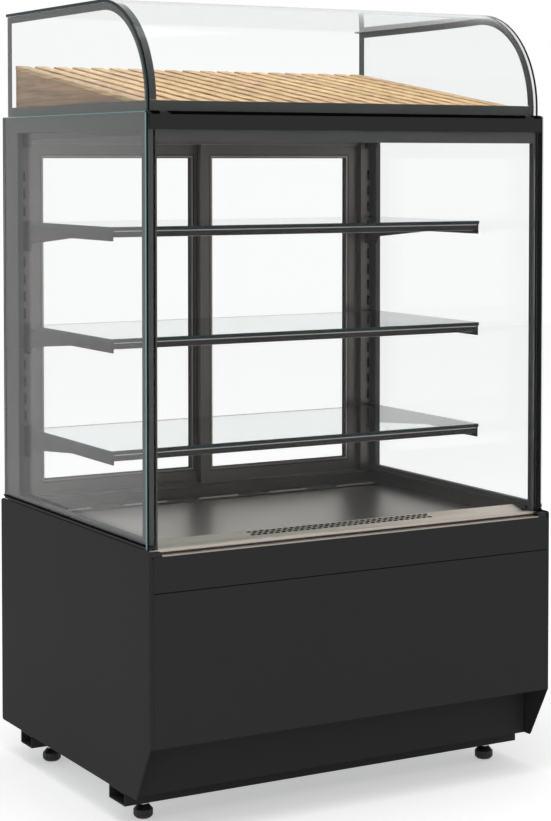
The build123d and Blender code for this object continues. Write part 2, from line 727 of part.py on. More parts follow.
# Rear doors: each a mitred sash, its glass and a sunk finger pull
DOOR_GLASS = 6.0
GROOVE_DEEP = 8.0
PULL_CENTRE = 385.0
PULL_TALL = 110.0
PULL_WIDE = 18.0
PULL_DEEP = 10.0
DOORS = (
    ("left_door", (-TRACK_HALF, -TRACK_HALF + DOOR_WIDTH), OUTER_DOOR_Y, (38.0, 18.0), -PULL_CENTRE),
    ("right_door", (TRACK_HALF - DOOR_WIDTH, TRACK_HALF), INNER_DOOR_Y, (28.0, 31.0), PULL_CENTRE),
)
for door_name, door_x, door_y, stiles, pull_x in DOORS:
    rear_face = door_y + DOOR_DEPTH
    middle_y = door_y + DOOR_DEPTH / 2
    with BuildPart() as door_frame:
        for corners in mitre_corners(door_x, (DOOR_BOTTOM, DOOR_TOP), (*stiles, DOOR_RAIL)):
            with BuildSketch(Plane.XZ.offset(-door_y)):
                with BuildLine():
                    Polyline(*corners, close=True)
                make_face()
            extrude(amount=-DOOR_DEPTH)
        block(
            (door_x[0] + stiles[0] - GROOVE_DEEP, door_x[1] - stiles[1] + GROOVE_DEEP),
            (middle_y - DOOR_GLASS / 2 - SEAM, middle_y + DOOR_GLASS / 2 + SEAM),
            (DOOR_BOTTOM + DOOR_RAIL - GROOVE_DEEP, DOOR_TOP - DOOR_RAIL + GROOVE_DEEP),
            Mode.SUBTRACT,
        )
        block(
            (pull_x - PULL_WIDE / 2, pull_x + PULL_WIDE / 2),
            (rear_face - PULL_DEEP, rear_face + 1),
            (HANDLE_Z - PULL_TALL / 2, HANDLE_Z + PULL_TALL / 2),
            Mode.SUBTRACT,
        )
    save(f"{door_name}_frame", door_frame.part)

    with BuildPart() as door_glass:
        block(
            (door_x[0] + stiles[0] - GROOVE_DEEP + 1, door_x[1] - stiles[1] + GROOVE_DEEP - 1),
            (middle_y - DOOR_GLASS / 2, middle_y + DOOR_GLASS / 2),
            (DOOR_BOTTOM + DOOR_RAIL - GROOVE_DEEP + 1, DOOR_TOP - DOOR_RAIL + GROOVE_DEEP - 1),
        )
    save(f"{door_name}_glass", door_glass.part)

    with BuildPart() as door_handle:
        cup = PULL_WIDE / 2 - SEAM
        cup_tall = PULL_TALL / 2 - SEAM
        block(
            (pull_x - cup, pull_x + cup),
            (rear_face - PULL_DEEP + SEAM, rear_face),
            (HANDLE_Z - cup_tall, HANDLE_Z + cup_tall),
        )
        block(
            (pull_x - cup - 2, pull_x + cup + 2),
            (rear_face, rear_face + 1.2),
            (HANDLE_Z - cup_tall - 3, HANDLE_Z + cup_tall + 3),
        )
        block(
            (pull_x - cup + SHEET, pull_x + cup - SHEET),
            (rear_face - PULL_DEEP + SEAM + SHEET, rear_face + 2),
            (HANDLE_Z - cup_tall + SHEET, HANDLE_Z + cup_tall - SHEET),
            Mode.SUBTRACT,
        )
    save(f"{door_name}_handle", door_handle.part)


def hood_outline(inset, low, back):
    """The hood's side profile as a flat face, drawn in by inset, with Y as its x and Z as its y."""
    radius = HOOD_RADIUS - inset
    middle = (HOOD_FRONT + HOOD_RADIUS, HOOD_TOP - HOOD_RADIUS)
    front = HOOD_FRONT + inset
    top = HOOD_TOP - inset
    foot = HOOD_BOTTOM - 5
    slant = radius * sin(radians(45))
    with BuildSketch() as outline:
        with BuildLine():
            Line((front, foot), (front, middle[1]))
            ThreePointArc((front, middle[1]), (middle[0] - slant, middle[1] + slant), (middle[0], top))
            Line((middle[0], top), (back, top))
            Line((back, top), (back, foot))
            Line((back, foot), (front, foot))
        make_face()
        with Locations((0, low)):
            Rectangle(DEPTH + 50, HOOD_TOP, align=(Align.CENTER, Align.MIN), mode=Mode.INTERSECT)
    return outline.sketch


# Hood: one bent pane over two side panes, open at the back
SIDE_PANE_INSET = HOOD_GLASS + 0.3
with BuildPart() as bent_hood_glass:
    with BuildSketch(Plane.YZ.offset(-HOOD_HALF)):
        add(hood_outline(0, HOOD_BOTTOM, HOOD_BACK))
    extrude(amount=2 * HOOD_HALF)
    with BuildSketch(Plane.YZ.offset(-HOOD_HALF - 1)):
        add(hood_outline(HOOD_GLASS, HOOD_BOTTOM - 1, HOOD_BACK + 1))
    extrude(amount=2 * HOOD_HALF + 2, mode=Mode.SUBTRACT)
save("bent_hood_glass", bent_hood_glass.part)

with BuildPart() as hood_side_panes:
    for pane_x in (-HOOD_HALF, HOOD_HALF - HOOD_GLASS):
        with BuildSketch(Plane.YZ.offset(pane_x)):
            add(hood_outline(SIDE_PANE_INSET, HOOD_BOTTOM, HOOD_BACK))
        extrude(amount=HOOD_GLASS)
save("hood_side_panes", hood_side_panes.part)


# Hood edge trim: the dark bands that cover the glued edges, inside the glass
TRIM_THICK = 1.5
SIDE_TRIM_X = HOOD_HALF - HOOD_GLASS - 0.1
BENT_TRIM_HALF = SIDE_TRIM_X - TRIM_THICK - SEAM
with BuildPart() as hood_edge_trim:
    for trim_x in (-SIDE_TRIM_X, SIDE_TRIM_X - TRIM_THICK):
        with BuildSketch(Plane.YZ.offset(trim_x)):
            add(hood_outline(SIDE_PANE_INSET, HOOD_BOTTOM, HOOD_BACK))
        extrude(amount=TRIM_THICK)
    for trim_x in (-SIDE_TRIM_X - 1, SIDE_TRIM_X - TRIM_THICK - 1):
        with BuildSketch(Plane.YZ.offset(trim_x)):
            add(hood_outline(TRIM_WIDE, HOOD_BOTTOM + TRIM_WIDE - 1, HOOD_BACK - TRIM_WIDE + 1))
        extrude(amount=TRIM_THICK + 2, mode=Mode.SUBTRACT)
    for band_x in (-BENT_TRIM_HALF, BENT_TRIM_HALF - TRIM_WIDE + 8):
        with BuildSketch(Plane.YZ.offset(band_x)):
            add(hood_outline(SIDE_PANE_INSET, HOOD_BOTTOM + TRIM_WIDE, HOOD_BACK))
        extrude(amount=TRIM_WIDE - 8)
    for band_x in (-BENT_TRIM_HALF - 0.05, BENT_TRIM_HALF - TRIM_WIDE + 7.95):
        with BuildSketch(Plane.YZ.offset(band_x)):
            add(hood_outline(SIDE_PANE_INSET + TRIM_THICK, HOOD_BOTTOM, HOOD_BACK + 1))
        extrude(amount=TRIM_WIDE - 7.9, mode=Mode.SUBTRACT)
    block(
        (-BENT_TRIM_HALF, BENT_TRIM_HALF),
        (HOOD_FRONT + SIDE_PANE_INSET, HOOD_FRONT + SIDE_PANE_INSET + TRIM_THICK),
        (HOOD_BOTTOM, HOOD_BOTTOM + TRIM_WIDE - 1),
    )
save("hood_edge_trim", hood_edge_trim.part)

with BuildPart() as hood_spacers:
    for pad_y in ((FRONT_GLASS + 8, FRONT_GLASS + 28), (REAR_LINE - 15, REAR_LINE - 1)):
        pair((398.0, 418.0), pad_y, (CEILING_TOP + 0.1, HOOD_BOTTOM - 0.1))
save("hood_spacers", hood_spacers.part)


# Bread rack: sloping slats on a wooden frame that stands on the ceiling panel
SLOPE = tan(radians(RACK_SLOPE))
SLAT_LONG = (RACK_BACK - RACK_FRONT) / cos(radians(RACK_SLOPE))
with BuildPart() as rack_slats:
    slat_plane = Plane(
        origin=(0, RACK_FRONT, RACK_FRONT_TOP),
        x_dir=(1, 0, 0),
        z_dir=(0, -sin(radians(RACK_SLOPE)), cos(radians(RACK_SLOPE))),
    )
    with BuildSketch(slat_plane):
        with Locations((0, SLAT_LONG / 2)):
            with GridLocations(SLAT_PITCH, 1, SLAT_COUNT, 1):
                Rectangle(SLAT_WIDE, SLAT_LONG)
    extrude(amount=-SLAT_THICK)
save("rack_slats", rack_slats.part)


def slat_underside(y):
    """Height of the slats' underside at a depth, less a hair."""
    return RACK_FRONT_TOP + (y - RACK_FRONT) * SLOPE - SLAT_THICK / cos(radians(RACK_SLOPE)) - 0.1


RACK_FOOT = CEILING_TOP + 0.1
BOARD = 15.0
BOARD_Y = (RACK_FRONT + 4, RACK_BACK - 3)
BATTEN_HALF = 420.0 - BOARD - SEAM
with BuildPart() as rack_frame:
    for board_x in (-420.0, 420.0 - BOARD):
        with BuildSketch(Plane.YZ.offset(board_x)):
            with BuildLine():
                Polyline(
                    (BOARD_Y[0], RACK_FOOT),
                    (BOARD_Y[1], RACK_FOOT),
                    (BOARD_Y[1], slat_underside(BOARD_Y[1])),
                    (BOARD_Y[0], slat_underside(BOARD_Y[0])),
                    close=True,
                )
            make_face()
        extrude(amount=BOARD)
    for batten_y, batten_tall in ((RACK_FRONT + 12, 8.0), (RACK_FRONT + 290, 25.0), (RACK_BACK - 40, 25.0)):
        with BuildSketch(Plane.YZ.offset(-BATTEN_HALF)):
            with BuildLine():
                Polyline(
                    (batten_y, slat_underside(batten_y) - batten_tall),
                    (batten_y + 22, slat_underside(batten_y) - batten_tall),
                    (batten_y + 22, slat_underside(batten_y + 22)),
                    (batten_y, slat_underside(batten_y)),
                    close=True,
                )
            make_face()
        extrude(amount=2 * BATTEN_HALF)
save("rack_frame", rack_frame.part)


# Compressor: a hermetic shell on a plate with four rubber mounts
COMP_AT = (-200.0, 60.0)
COMP_R = 75.0
COMP_Z = (90.0, 240.0)
STUB_Z = 205.0
with BuildPart() as compressor:
    with BuildSketch(Plane.XZ) as shell_profile:
        with BuildLine():
            Polyline(
                (0, COMP_Z[0]),
                (COMP_R, COMP_Z[0]),
                (COMP_R, COMP_Z[1]),
                (0, COMP_Z[1]),
                close=True,
            )
        make_face()
        fillet(shell_profile.vertices().group_by(Axis.X)[-1], radius=38)
    revolve(axis=Axis.Z)
    block((-90, 90), (-72, 72), (84.0, 90.5))
    for mount_x in (-78, 78):
        for mount_y in (-60, 60):
            rod((mount_x, mount_y, TRAY_TOP + 0.1), (0, 0, 1), 84.0 - TRAY_TOP, 12)
    rod((0, 0, STUB_Z), (1, 0, 0), COMP_R + 15, 7)
    rod((0, 0, COMP_Z[1] - 5), (0, 0, 1), 15, 8)
compressor.part.position = (*COMP_AT, 0)
save("compressor", compressor.part)


# Condenser: a finned block by the rear vents, with its shroud, fan motor and fan
COIL_X = (60.0, 340.0)
COIL_Y = (250.0, 300.0)
COIL_Z = (TRAY_TOP + 0.2, 300.0)
FAN_AT = (200.0, 196.0, 182.0)
FAN_RING = 103.0
with BuildPart() as condenser_coil:
    block((COIL_X[0] + 2, COIL_X[1] - 2), COIL_Y, (COIL_Z[0] + 6, COIL_Z[1] - 4))
    for plate_x in (COIL_X[0], COIL_X[1] - 2):
        block((plate_x, plate_x + 2), (COIL_Y[0] - 3, COIL_Y[1] + 3), COIL_Z)
    for row in range(7):
        for tube_y in (COIL_Y[0] + 12, COIL_Y[1] - 12):
            rod((COIL_X[0] - 12, tube_y, 92 + row * 31), (1, 0, 0), COIL_X[1] - COIL_X[0] + 24, 5)
save("condenser_coil", condenser_coil.part)

with BuildPart() as condenser_shroud:
    block(COIL_X, (COIL_Y[0] - 8, COIL_Y[0] - 5), COIL_Z)
    rod((FAN_AT[0], 205, FAN_AT[2]), (0, 1, 0), 37, FAN_RING + 3)
    rod((FAN_AT[0], 200, FAN_AT[2]), (0, 1, 0), 60, FAN_RING, Mode.SUBTRACT)
    with BuildSketch(Plane.XZ.offset(-205)):
        with Locations((FAN_AT[0], FAN_AT[2])):
            Rectangle(2 * FAN_RING + 4, 10)
            Rectangle(10, 2 * FAN_RING + 4)
    extrude(amount=4)
    rod((FAN_AT[0], 150, FAN_AT[2]), (0, 1, 0), 55, 28)
    rod((FAN_AT[0], 200, FAN_AT[2]), (0, 1, 0), 38, 4)
save("condenser_shroud", condenser_shroud.part)

FAN_HUB_Y = (209.0, 236.0)
with BuildPart() as condenser_fan:
    rod((FAN_AT[0], FAN_HUB_Y[0], FAN_AT[2]), (0, 1, 0), FAN_HUB_Y[1] - FAN_HUB_Y[0], 25)
    fan_plane = Plane(
        origin=(FAN_AT[0], (FAN_HUB_Y[0] + FAN_HUB_Y[1]) / 2, FAN_AT[2]),
        x_dir=(1, 0, 0),
        z_dir=(0, 1, 0),
    )
    with Locations(fan_plane):
        with PolarLocations(58, 5):
            Box(72, 38, 2.4, rotation=(33, 0, 0))
    rod(
        (FAN_AT[0], FAN_HUB_Y[0] - 1, FAN_AT[2]),
        (0, 1, 0),
        FAN_HUB_Y[1] - FAN_HUB_Y[0] + 2,
        4 + RUNNING_GAP,
        Mode.SUBTRACT,
    )
save("condenser_fan", condenser_fan.part)


# Evaporator: a finned block in the tub, with end plates that carry a cross-flow fan
EVAP_X = 250.0
EVAP_Y = (-60.0, 80.0)
EVAP_Z = (TUB_FLOOR + 0.2, 503.0)
ROTOR_AT = (-120.0, 469.0)
ROTOR_R = 28.0
with BuildPart() as evaporator_coil:
    block((-EVAP_X, EVAP_X), EVAP_Y, (EVAP_Z[0] + 6, EVAP_Z[1] - 2))
    pair((EVAP_X, EVAP_X + 3), (-156, EVAP_Y[1] + 5), EVAP_Z)
    rod((EVAP_X, *ROTOR_AT), (1, 0, 0), 50, 26)
    rod((-EVAP_X - 5, *ROTOR_AT), (1, 0, 0), 2 * EVAP_X + 40, 3 + RUNNING_GAP, Mode.SUBTRACT)
save("evaporator_coil", evaporator_coil.part)

with BuildPart() as evaporator_fan:
    for disc_x in (-246, -124, -1, 122, 244):
        rod((disc_x, *ROTOR_AT), (1, 0, 0), 2, ROTOR_R)
    with Locations(Plane(origin=(0, *ROTOR_AT), x_dir=(0, 1, 0), z_dir=(1, 0, 0))):
        with PolarLocations(ROTOR_R - 4, 18):
            Box(6, 1, 491, rotation=(0, 0, 30))
    rod((-EVAP_X - 4, *ROTOR_AT), (1, 0, 0), 2 * EVAP_X + 30, 3)
save("evaporator_fan", evaporator_fan.part)


# Refrigerant pipes: discharge, liquid line with its drier, and suction
PIPE_BEND = 18.0
PIPES = (
    (
        4.0,
        (
            (COMP_AT[0] + COMP_R + 15.1, COMP_AT[1], STUB_Z),
            (15, COMP_AT[1], STUB_Z),
            (15, COMP_AT[1], 278),
            (15, COIL_Y[0] + 12, 278),
            (COIL_X[0] - 12.1, COIL_Y[0] + 12, 278),
        ),
    ),
    (
        3.0,
        (
            (COIL_X[0] - 12.1, COIL_Y[1] - 12, 92),
            (10, COIL_Y[1] - 12, 92),
            (10, LIQUID_AT[1], 92),
            (LIQUID_AT[0], LIQUID_AT[1], 92),
            (LIQUID_AT[0], LIQUID_AT[1], 470),
            (LIQUID_AT[0], EVAP_Y[1] + 0.1, 470),
        ),
    ),
    (
        5.0,
        (
            (SUCTION_AT[0], EVAP_Y[1] + 0.1, 482),
            (SUCTION_AT[0], SUCTION_AT[1], 482),
            (SUCTION_AT[0], SUCTION_AT[1], 330),
            (COMP_AT[0], SUCTION_AT[1], 330),
            (COMP_AT[0], COMP_AT[1], 330),
            (COMP_AT[0], COMP_AT[1], COMP_Z[1] + 10.1),
        ),
    ),
)
with BuildPart() as refrigerant_pipes:
    for pipe_r, corners in PIPES:
        with BuildLine() as route:
            FilletPolyline(*corners, radius=PIPE_BEND)
        with BuildSketch(Plane(origin=route.line @ 0, z_dir=route.line % 0)):
            Circle(pipe_r)
        sweep(path=route.line)
    rod((*LIQUID_AT, 190), (0, 0, 1), 90, 14)
save("refrigerant_pipes", refrigerant_pipes.part)


# Condensate pan: a tray that evaporates the melt water, and the drain above it
with BuildPart() as condensate_pan:
    block((-410, -300), (-90, 110), (TRAY_TOP + 0.2, 104.0))
    block((-408, -302), (-88, 108), (TRAY_TOP + 2.2, 105.0), Mode.SUBTRACT)
    rod((*DRAIN_AT, 120), (0, 0, 1), TUB_FLOOR - 121, 7.5)
    rod((*DRAIN_AT, 110), (0, 0, 1), TUB_FLOOR - 100, 6, Mode.SUBTRACT)
save("condensate_pan", condensate_pan.part)


# Controls on the rear panel: a controller with a flat touch face and two rocker switches
with BuildPart() as temperature_controller:
    with Locations((CONTROLLER_X, REAR_FACE - 20, CONTROL_Z)):
        Box(70, 40, 28)
    with Locations((CONTROLLER_X, REAR_FACE + 0.9, CONTROL_Z)):
        Box(78, 1.8, 36)
    fillet(temperature_controller.faces().sort_by(Axis.Y)[-1].edges(), radius=1)
save("temperature_controller", temperature_controller.part)

ROCKER_Y = BACK - 7.5
ROCKER_TILT = 10.0
PIN_R = 1.2
with BuildPart() as switch_housings:
    for switch_x in SWITCH_XS.values():
        with Locations((switch_x, REAR_FACE - 10, CONTROL_Z)):
            Box(19, 20, 27)
        with Locations((switch_x, REAR_FACE + 0.9, CONTROL_Z)):
            Box(23, 1.8, 31)
        with Locations((switch_x, REAR_FACE - 5, CONTROL_Z)):
            Box(14, 15, 23.6, mode=Mode.SUBTRACT)
        rod((switch_x - 9, ROCKER_Y, CONTROL_Z), (1, 0, 0), 18, PIN_R + RUNNING_GAP, Mode.SUBTRACT)
save("switch_housings", switch_housings.part)

for switch_name, switch_x in SWITCH_XS.items():
    with BuildPart() as rocker:
        block((-6.7, 6.7), (-3.5, 4.8), (-10.7, 10.7))
        fillet(rocker.edges().filter_by(Axis.X), radius=1)
        rod((-8.8, 0, 0), (1, 0, 0), 17.6, PIN_R)
    rocker_at = Location((switch_x, ROCKER_Y, CONTROL_Z), (-ROCKER_TILT, 0, 0))
    save(switch_name, rocker.part.moved(rocker_at))


# Cable gland: the mains inlet through the base tray
with BuildPart() as cable_gland:
    with BuildSketch(Plane.XY.offset(PANEL_BOTTOM - 6.1)):
        RegularPolygon(13, 6, major_radius=False)
    extrude(amount=6)
    rod((0, 0, PANEL_BOTTOM - 0.5), (0, 0, 1), 14, GLAND_R)
    with BuildSketch(Plane.XY.offset(TRAY_TOP + 0.1)):
        RegularPolygon(13, 6, major_radius=False)
    extrude(amount=5)
    with BuildSketch(Plane.XY.offset(PANEL_BOTTOM - 6)):
        Circle(11)
    extrude(amount=-13, taper=15)
    rod((0, 0, RAIL_BOTTOM), (0, 0, 1), 50, 5, Mode.SUBTRACT)
cable_gland.part.position = (*GLAND_AT, 0)
save("cable_gland", cable_gland.part)
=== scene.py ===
# %% [markdown]
# # Dressing a pastry display case
#
# A case like this is mostly glass, thin painted sheet and one warm surface, the slatted bread rack.
# The solids arrive from the CAD work as a fixed frame. Here they get finishes worked out from real
# materials, and small pieces that only the eye needs, such as seals, lenses, screw heads and gasket lines.

# %% Load the frame
import math

import bmesh
import bpy
from mathutils import Matrix, Vector


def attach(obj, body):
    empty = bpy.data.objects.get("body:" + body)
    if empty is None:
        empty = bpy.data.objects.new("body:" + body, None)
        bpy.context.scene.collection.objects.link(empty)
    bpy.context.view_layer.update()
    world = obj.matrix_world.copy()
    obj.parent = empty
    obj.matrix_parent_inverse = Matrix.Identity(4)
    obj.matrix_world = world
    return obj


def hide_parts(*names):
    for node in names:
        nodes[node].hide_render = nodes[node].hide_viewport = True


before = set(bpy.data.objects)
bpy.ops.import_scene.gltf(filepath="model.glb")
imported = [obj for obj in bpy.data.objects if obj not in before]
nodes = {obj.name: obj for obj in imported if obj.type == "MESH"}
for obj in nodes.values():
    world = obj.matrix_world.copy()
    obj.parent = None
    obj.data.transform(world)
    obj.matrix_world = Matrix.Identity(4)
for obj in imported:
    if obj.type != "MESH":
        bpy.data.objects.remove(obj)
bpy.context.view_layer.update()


# %% [markdown]
# ## Tools for this file
#
# Colours are read off a chart as sRGB hex, and shaders want linear light, so one function turns one into
# the other. A second one adds a shader node with its settings and links, and a third scales a colour's
# brightness. Sizes are written in millimetres, as a maker would, and MM turns them into Blender's metres.

# %% Colour and node helpers
MM = 0.001
WHITE = (1, 1, 1, 1)


def linear(hex_colour):
    """Turn an sRGB hex colour into the linear RGBA that shaders use."""
    channels = [int(hex_colour[i : i + 2], 16) / 255 for i in (1, 3, 5)]
    return (*[c / 12.92 if c <= 0.04045 else ((c + 0.055) / 1.055) ** 2.4 for c in channels], 1)


def add(tree, kind, links=(), inputs_set=None, **properties):
    """Add one node with its properties and input values. Each link joins a socket to one of its inputs."""
    node = tree.nodes.new(kind)
    for key, value in properties.items():
        setattr(node, key, value)
    for key, value in (inputs_set or {}).items():
        node.inputs[key].default_value = value
    for source, target in links:
        tree.links.new(source, node.inputs[target])
    return node


def toned(hex_colour, factor):
    """Make a colour paler or darker by a factor, and keep it below full white."""
    return tuple(min(1, channel * factor) for channel in linear(hex_colour)[:3]) + (1,)


def finish_named(name):
    """Start an empty material with an output node, and return it with its tree and output."""
    material = bpy.data.materials.new(name)
    material.use_nodes = True
    tree = material.node_tree
    tree.nodes.clear()
    return material, tree, tree.nodes.new("ShaderNodeOutputMaterial")


print("white is", linear("#ffffff"))


# %% [markdown]
# ## The camera and the light
#
# The photograph is a tall frame taken from the front left, a little below the top of the hood, with a long
# lens. Its upright edges stay upright, as with a shift lens, so the camera looks almost level and the frame
# is shifted down. A little of that shift is given back as tilt, so that other views keep the object whole.

# %% Make the camera
EYE = Vector((-2.0918, -3.6920, 1.2386))
YAW = math.radians(29.69)
TILT = math.radians(2.355)
LENS = 90.8
SENSOR = 36
SHIFT = -0.20

camera_data = bpy.data.cameras.new("camera")
camera_data.lens = LENS
camera_data.sensor_width = SENSOR
camera_data.shift_y = SHIFT
camera = bpy.data.objects.new("camera", camera_data)
camera.location = EYE
camera.rotation_euler = (math.radians(90) - TILT, 0, -YAW)
bpy.context.scene.collection.objects.link(camera)
bpy.context.scene.camera = camera
bpy.context.scene.view_settings.view_transform = "Standard"
print("camera at", tuple(EYE))


# %% [markdown]
# ## A white studio
#
# The object stands on a white floor in a white room. What the camera sees, straight or in glass and metal, is
# plain white, so the panes stay clear and only their edges draw. The light that falls on matt surfaces is
# softer, and a large lamp overhead shapes the rack and the steel floor.

# %% World and lamps
ROOM_LIGHT = 0.62
LAMP_POWER = 55
LAMP_PLACE = (-0.4, -0.5, 4.2)
LAMP_AIM = (0, 0, 0.6)
LAMP_SIZE = 2.6

world = bpy.data.worlds.new("studio")
bpy.context.scene.world = world
world.use_nodes = True
sky = world.node_tree
sky.nodes.clear()


def seen_or_mirrored(tree):
    """1 for the rays that show a thing to the camera, straight, through glass or in a mirror, else 0."""
    path = add(tree, "ShaderNodeLightPath")
    straight = add(
        tree,
        "ShaderNodeMath",
        [(path.outputs["Is Camera Ray"], 0), (path.outputs["Is Transmission Ray"], 1)],
        operation="MAXIMUM",
    )
    return add(
        tree,
        "ShaderNodeMath",
        [(straight.outputs[0], 0), (path.outputs["Is Glossy Ray"], 1)],
        operation="MAXIMUM",
    ).outputs[0]


strength = add(
    sky,
    "ShaderNodeMapRange",
    [(seen_or_mirrored(sky), "Value")],
    inputs_set={"To Min": ROOM_LIGHT, "To Max": 1.0},
)
glow = add(sky, "ShaderNodeBackground", [(strength.outputs[0], "Strength")], inputs_set={"Color": WHITE})
add(sky, "ShaderNodeOutputWorld", [(glow.outputs[0], "Surface")])


def soft_lamp(name, place, aim, size, watts):
    """Hang a square soft lamp at a place and turn it to a point."""
    data = bpy.data.lights.new(name, "AREA")
    data.shape = "SQUARE"
    data.size = size
    data.energy = watts
    lamp = bpy.data.objects.new(name, data)
    lamp.location = place
    lamp.rotation_euler = (Vector(aim) - Vector(place)).to_track_quat("-Z", "Y").to_euler()
    bpy.context.scene.collection.objects.link(lamp)


soft_lamp("top_light", LAMP_PLACE, LAMP_AIM, LAMP_SIZE, LAMP_POWER)


# %% [markdown]
# ## The floor
#
# A plain pale floor catches the object's shadow. It has to look as white as the room, so to the camera it is
# a bright matt surface, and it is large enough for every view.

# %% Lay the floor
FLOOR_HALF = 9.0
FLOOR_GLOW = 0.42
FLOOR_DROP = 0.5 * MM
FLOOR_WHITE = (0.88, 0.88, 0.88, 1)

floor_shape = bmesh.new()
bmesh.ops.create_grid(floor_shape, x_segments=1, y_segments=1, size=FLOOR_HALF)
bmesh.ops.translate(floor_shape, vec=(0, 0, -FLOOR_DROP), verts=floor_shape.verts)
floor_mesh = bpy.data.meshes.new("floor")
floor_shape.to_mesh(floor_mesh)
floor_shape.free()
floor = bpy.data.objects.new("floor", floor_mesh)
bpy.context.scene.collection.objects.link(floor)

floor_paint, tree, out = finish_named("white_floor")
matt = add(tree, "ShaderNodeBsdfDiffuse", inputs_set={"Color": FLOOR_WHITE})
glow = add(
    tree,
    "ShaderNodeMath",
    [(seen_or_mirrored(tree), 0)],
    inputs_set={1: FLOOR_GLOW},
    operation="MULTIPLY",
)
lit = add(tree, "ShaderNodeEmission", [(glow.outputs[0], "Strength")], inputs_set={"Color": WHITE})
both = add(tree, "ShaderNodeAddShader", [(matt.outputs[0], 0), (lit.outputs[0], 1)])
tree.links.new(both.outputs[0], out.inputs["Surface"])
floor_mesh.materials.append(floor_paint)
print("floor", FLOOR_HALF * 2, "m wide")


# %% [markdown]
# ## Powder-coated sheet
#
# The base, the fascia and the kick plate are steel sheet with a dark grey satin powder coat. Powder flows
# out in the oven and leaves a faint orange peel a millimetre or two across, which softens the highlights.
# A Principled shader with a noise bump of that size gives it, with slow clouds in the gloss, six to the metre.
# In the photograph the panels show hardly any highlight, so the specular level is turned almost off.

# %% Powder coat
ORANGE_PEEL = 1.6 * MM
COAT_CLOUDS = 6.0
COAT_SPECULAR = 0.03


def powder_coat(name, colour, roughness, relief=0.25):
    """Satin powder coat: even colour, slightly cloudy gloss, fine orange peel."""
    material, tree, out = finish_named(name)
    place = add(tree, "ShaderNodeTexCoord")
    cloud = add(
        tree,
        "ShaderNodeTexNoise",
        [(place.outputs["Object"], "Vector")],
        inputs_set={"Scale": COAT_CLOUDS, "Detail": 3.0},
    )
    gloss = add(
        tree,
        "ShaderNodeMapRange",
        [(cloud.outputs["Fac"], "Value")],
        inputs_set={"To Min": roughness - 0.05, "To Max": roughness + 0.05},
    )
    peel = add(
        tree,
        "ShaderNodeTexNoise",
        [(place.outputs["Object"], "Vector")],
        inputs_set={"Scale": 1 / ORANGE_PEEL / 2, "Detail": 2.0},
    )
    bump = add(
        tree,
        "ShaderNodeBump",
        [(peel.outputs["Fac"], "Height")],
        inputs_set={"Strength": relief, "Distance": 0.05 * MM},
    )
    tone = add(
        tree,
        "ShaderNodeMix",
        [(cloud.outputs["Fac"], "Factor")],
        data_type="RGBA",
        inputs_set={6: linear(colour), 7: toned(colour, 1.06)},
    )
    paint = add(
        tree,
        "ShaderNodeBsdfPrincipled",
        [
            (tone.outputs[2], "Base Color"),
            (gloss.outputs[0], "Roughness"),
            (bump.outputs[0], "Normal"),
        ],
        inputs_set={"IOR": 1.5, "Specular IOR Level": COAT_SPECULAR},
    )
    tree.links.new(paint.outputs[0], out.inputs["Surface"])
    return material


base_coat = powder_coat("satin_powder_coat_black", "#363636", 0.6)
header_coat = powder_coat("satin_powder_coat_dark_grey", "#343434", 0.55)
print(base_coat.name, header_coat.name)


# %% [markdown]
# ## Brushed and galvanised steel
#
# The display floor is stainless steel, brushed along its length: hair-fine scratches, long in X and a
# fraction of a millimetre across. Real ones are about 0.05 mm wide, too fine for the render, so they are
# drawn about 0.8 mm wide. Their relief is left out here, since at that width it marbles the reflections.
# Galvanised sheet inside has the flaky spangle of zinc, cells of about 12 mm.
#
# All the visible steel is one metal in four tones: a painted highlight on the bright hem, a stronger painted
# highlight on the pale front ridge, the steel's own tone on the mid-grey deck, and painted shade on the dark
# trims at the back. The tones are matched to that picture by colour, and are not measured from steel. Under
# another light one tone for all would be closer to real.

# %% Brushed stainless and zinc
SCRATCH_WIDE = 0.8 * MM
SCRATCH_LONG = 90 * MM
SPANGLE = 12 * MM


def brushed_metal(name, colour, roughness, wide, long, along="x", relief=0.12, shade=0.10):
    """Metal brushed along one axis: stretched noise drives colour, gloss and a slight bump."""
    material, tree, out = finish_named(name)
    place = add(tree, "ShaderNodeTexCoord")
    stretch = add(
        tree,
        "ShaderNodeMapping",
        [(place.outputs["Object"], "Vector")],
        inputs_set={"Scale": [1 / (long if axis == along else wide) for axis in "xyz"]},
    )
    scratches = add(
        tree,
        "ShaderNodeTexNoise",
        [(stretch.outputs[0], "Vector")],
        inputs_set={"Scale": 1.0, "Detail": 4.0, "Roughness": 0.6},
    )
    tone = add(
        tree,
        "ShaderNodeMix",
        [(scratches.outputs["Fac"], "Factor")],
        data_type="RGBA",
        inputs_set={6: toned(colour, 1 - shade), 7: toned(colour, 1 + shade)},
    )
    gloss = add(
        tree,
        "ShaderNodeMapRange",
        [(scratches.outputs["Fac"], "Value")],
        inputs_set={"To Min": roughness - shade / 3, "To Max": roughness + shade / 3},
    )
    bump = add(
        tree,
        "ShaderNodeBump",
        [(scratches.outputs["Fac"], "Height")],
        inputs_set={"Strength": relief, "Distance": 0.05 * MM},
    )
    metal = add(
        tree,
        "ShaderNodeBsdfPrincipled",
        [
            (tone.outputs[2], "Base Color"),
            (gloss.outputs[0], "Roughness"),
            (bump.outputs[0], "Normal"),
        ],
        inputs_set={"Metallic": 1.0},
    )
    tree.links.new(metal.outputs[0], out.inputs["Surface"])
    return material


steel = {"wide": SCRATCH_WIDE, "long": SCRATCH_LONG, "relief": 0.0}
stainless = brushed_metal("brushed_stainless_steel", "#8b857e", 0.34, **steel, shade=0.05)
# Painted highlight: a brighter copy of the steel, for the hem and the lips at the back.
stainless_highlight = brushed_metal("stainless_steel_painted_highlight", "#a59e97", 0.28, **steel, shade=0.05)
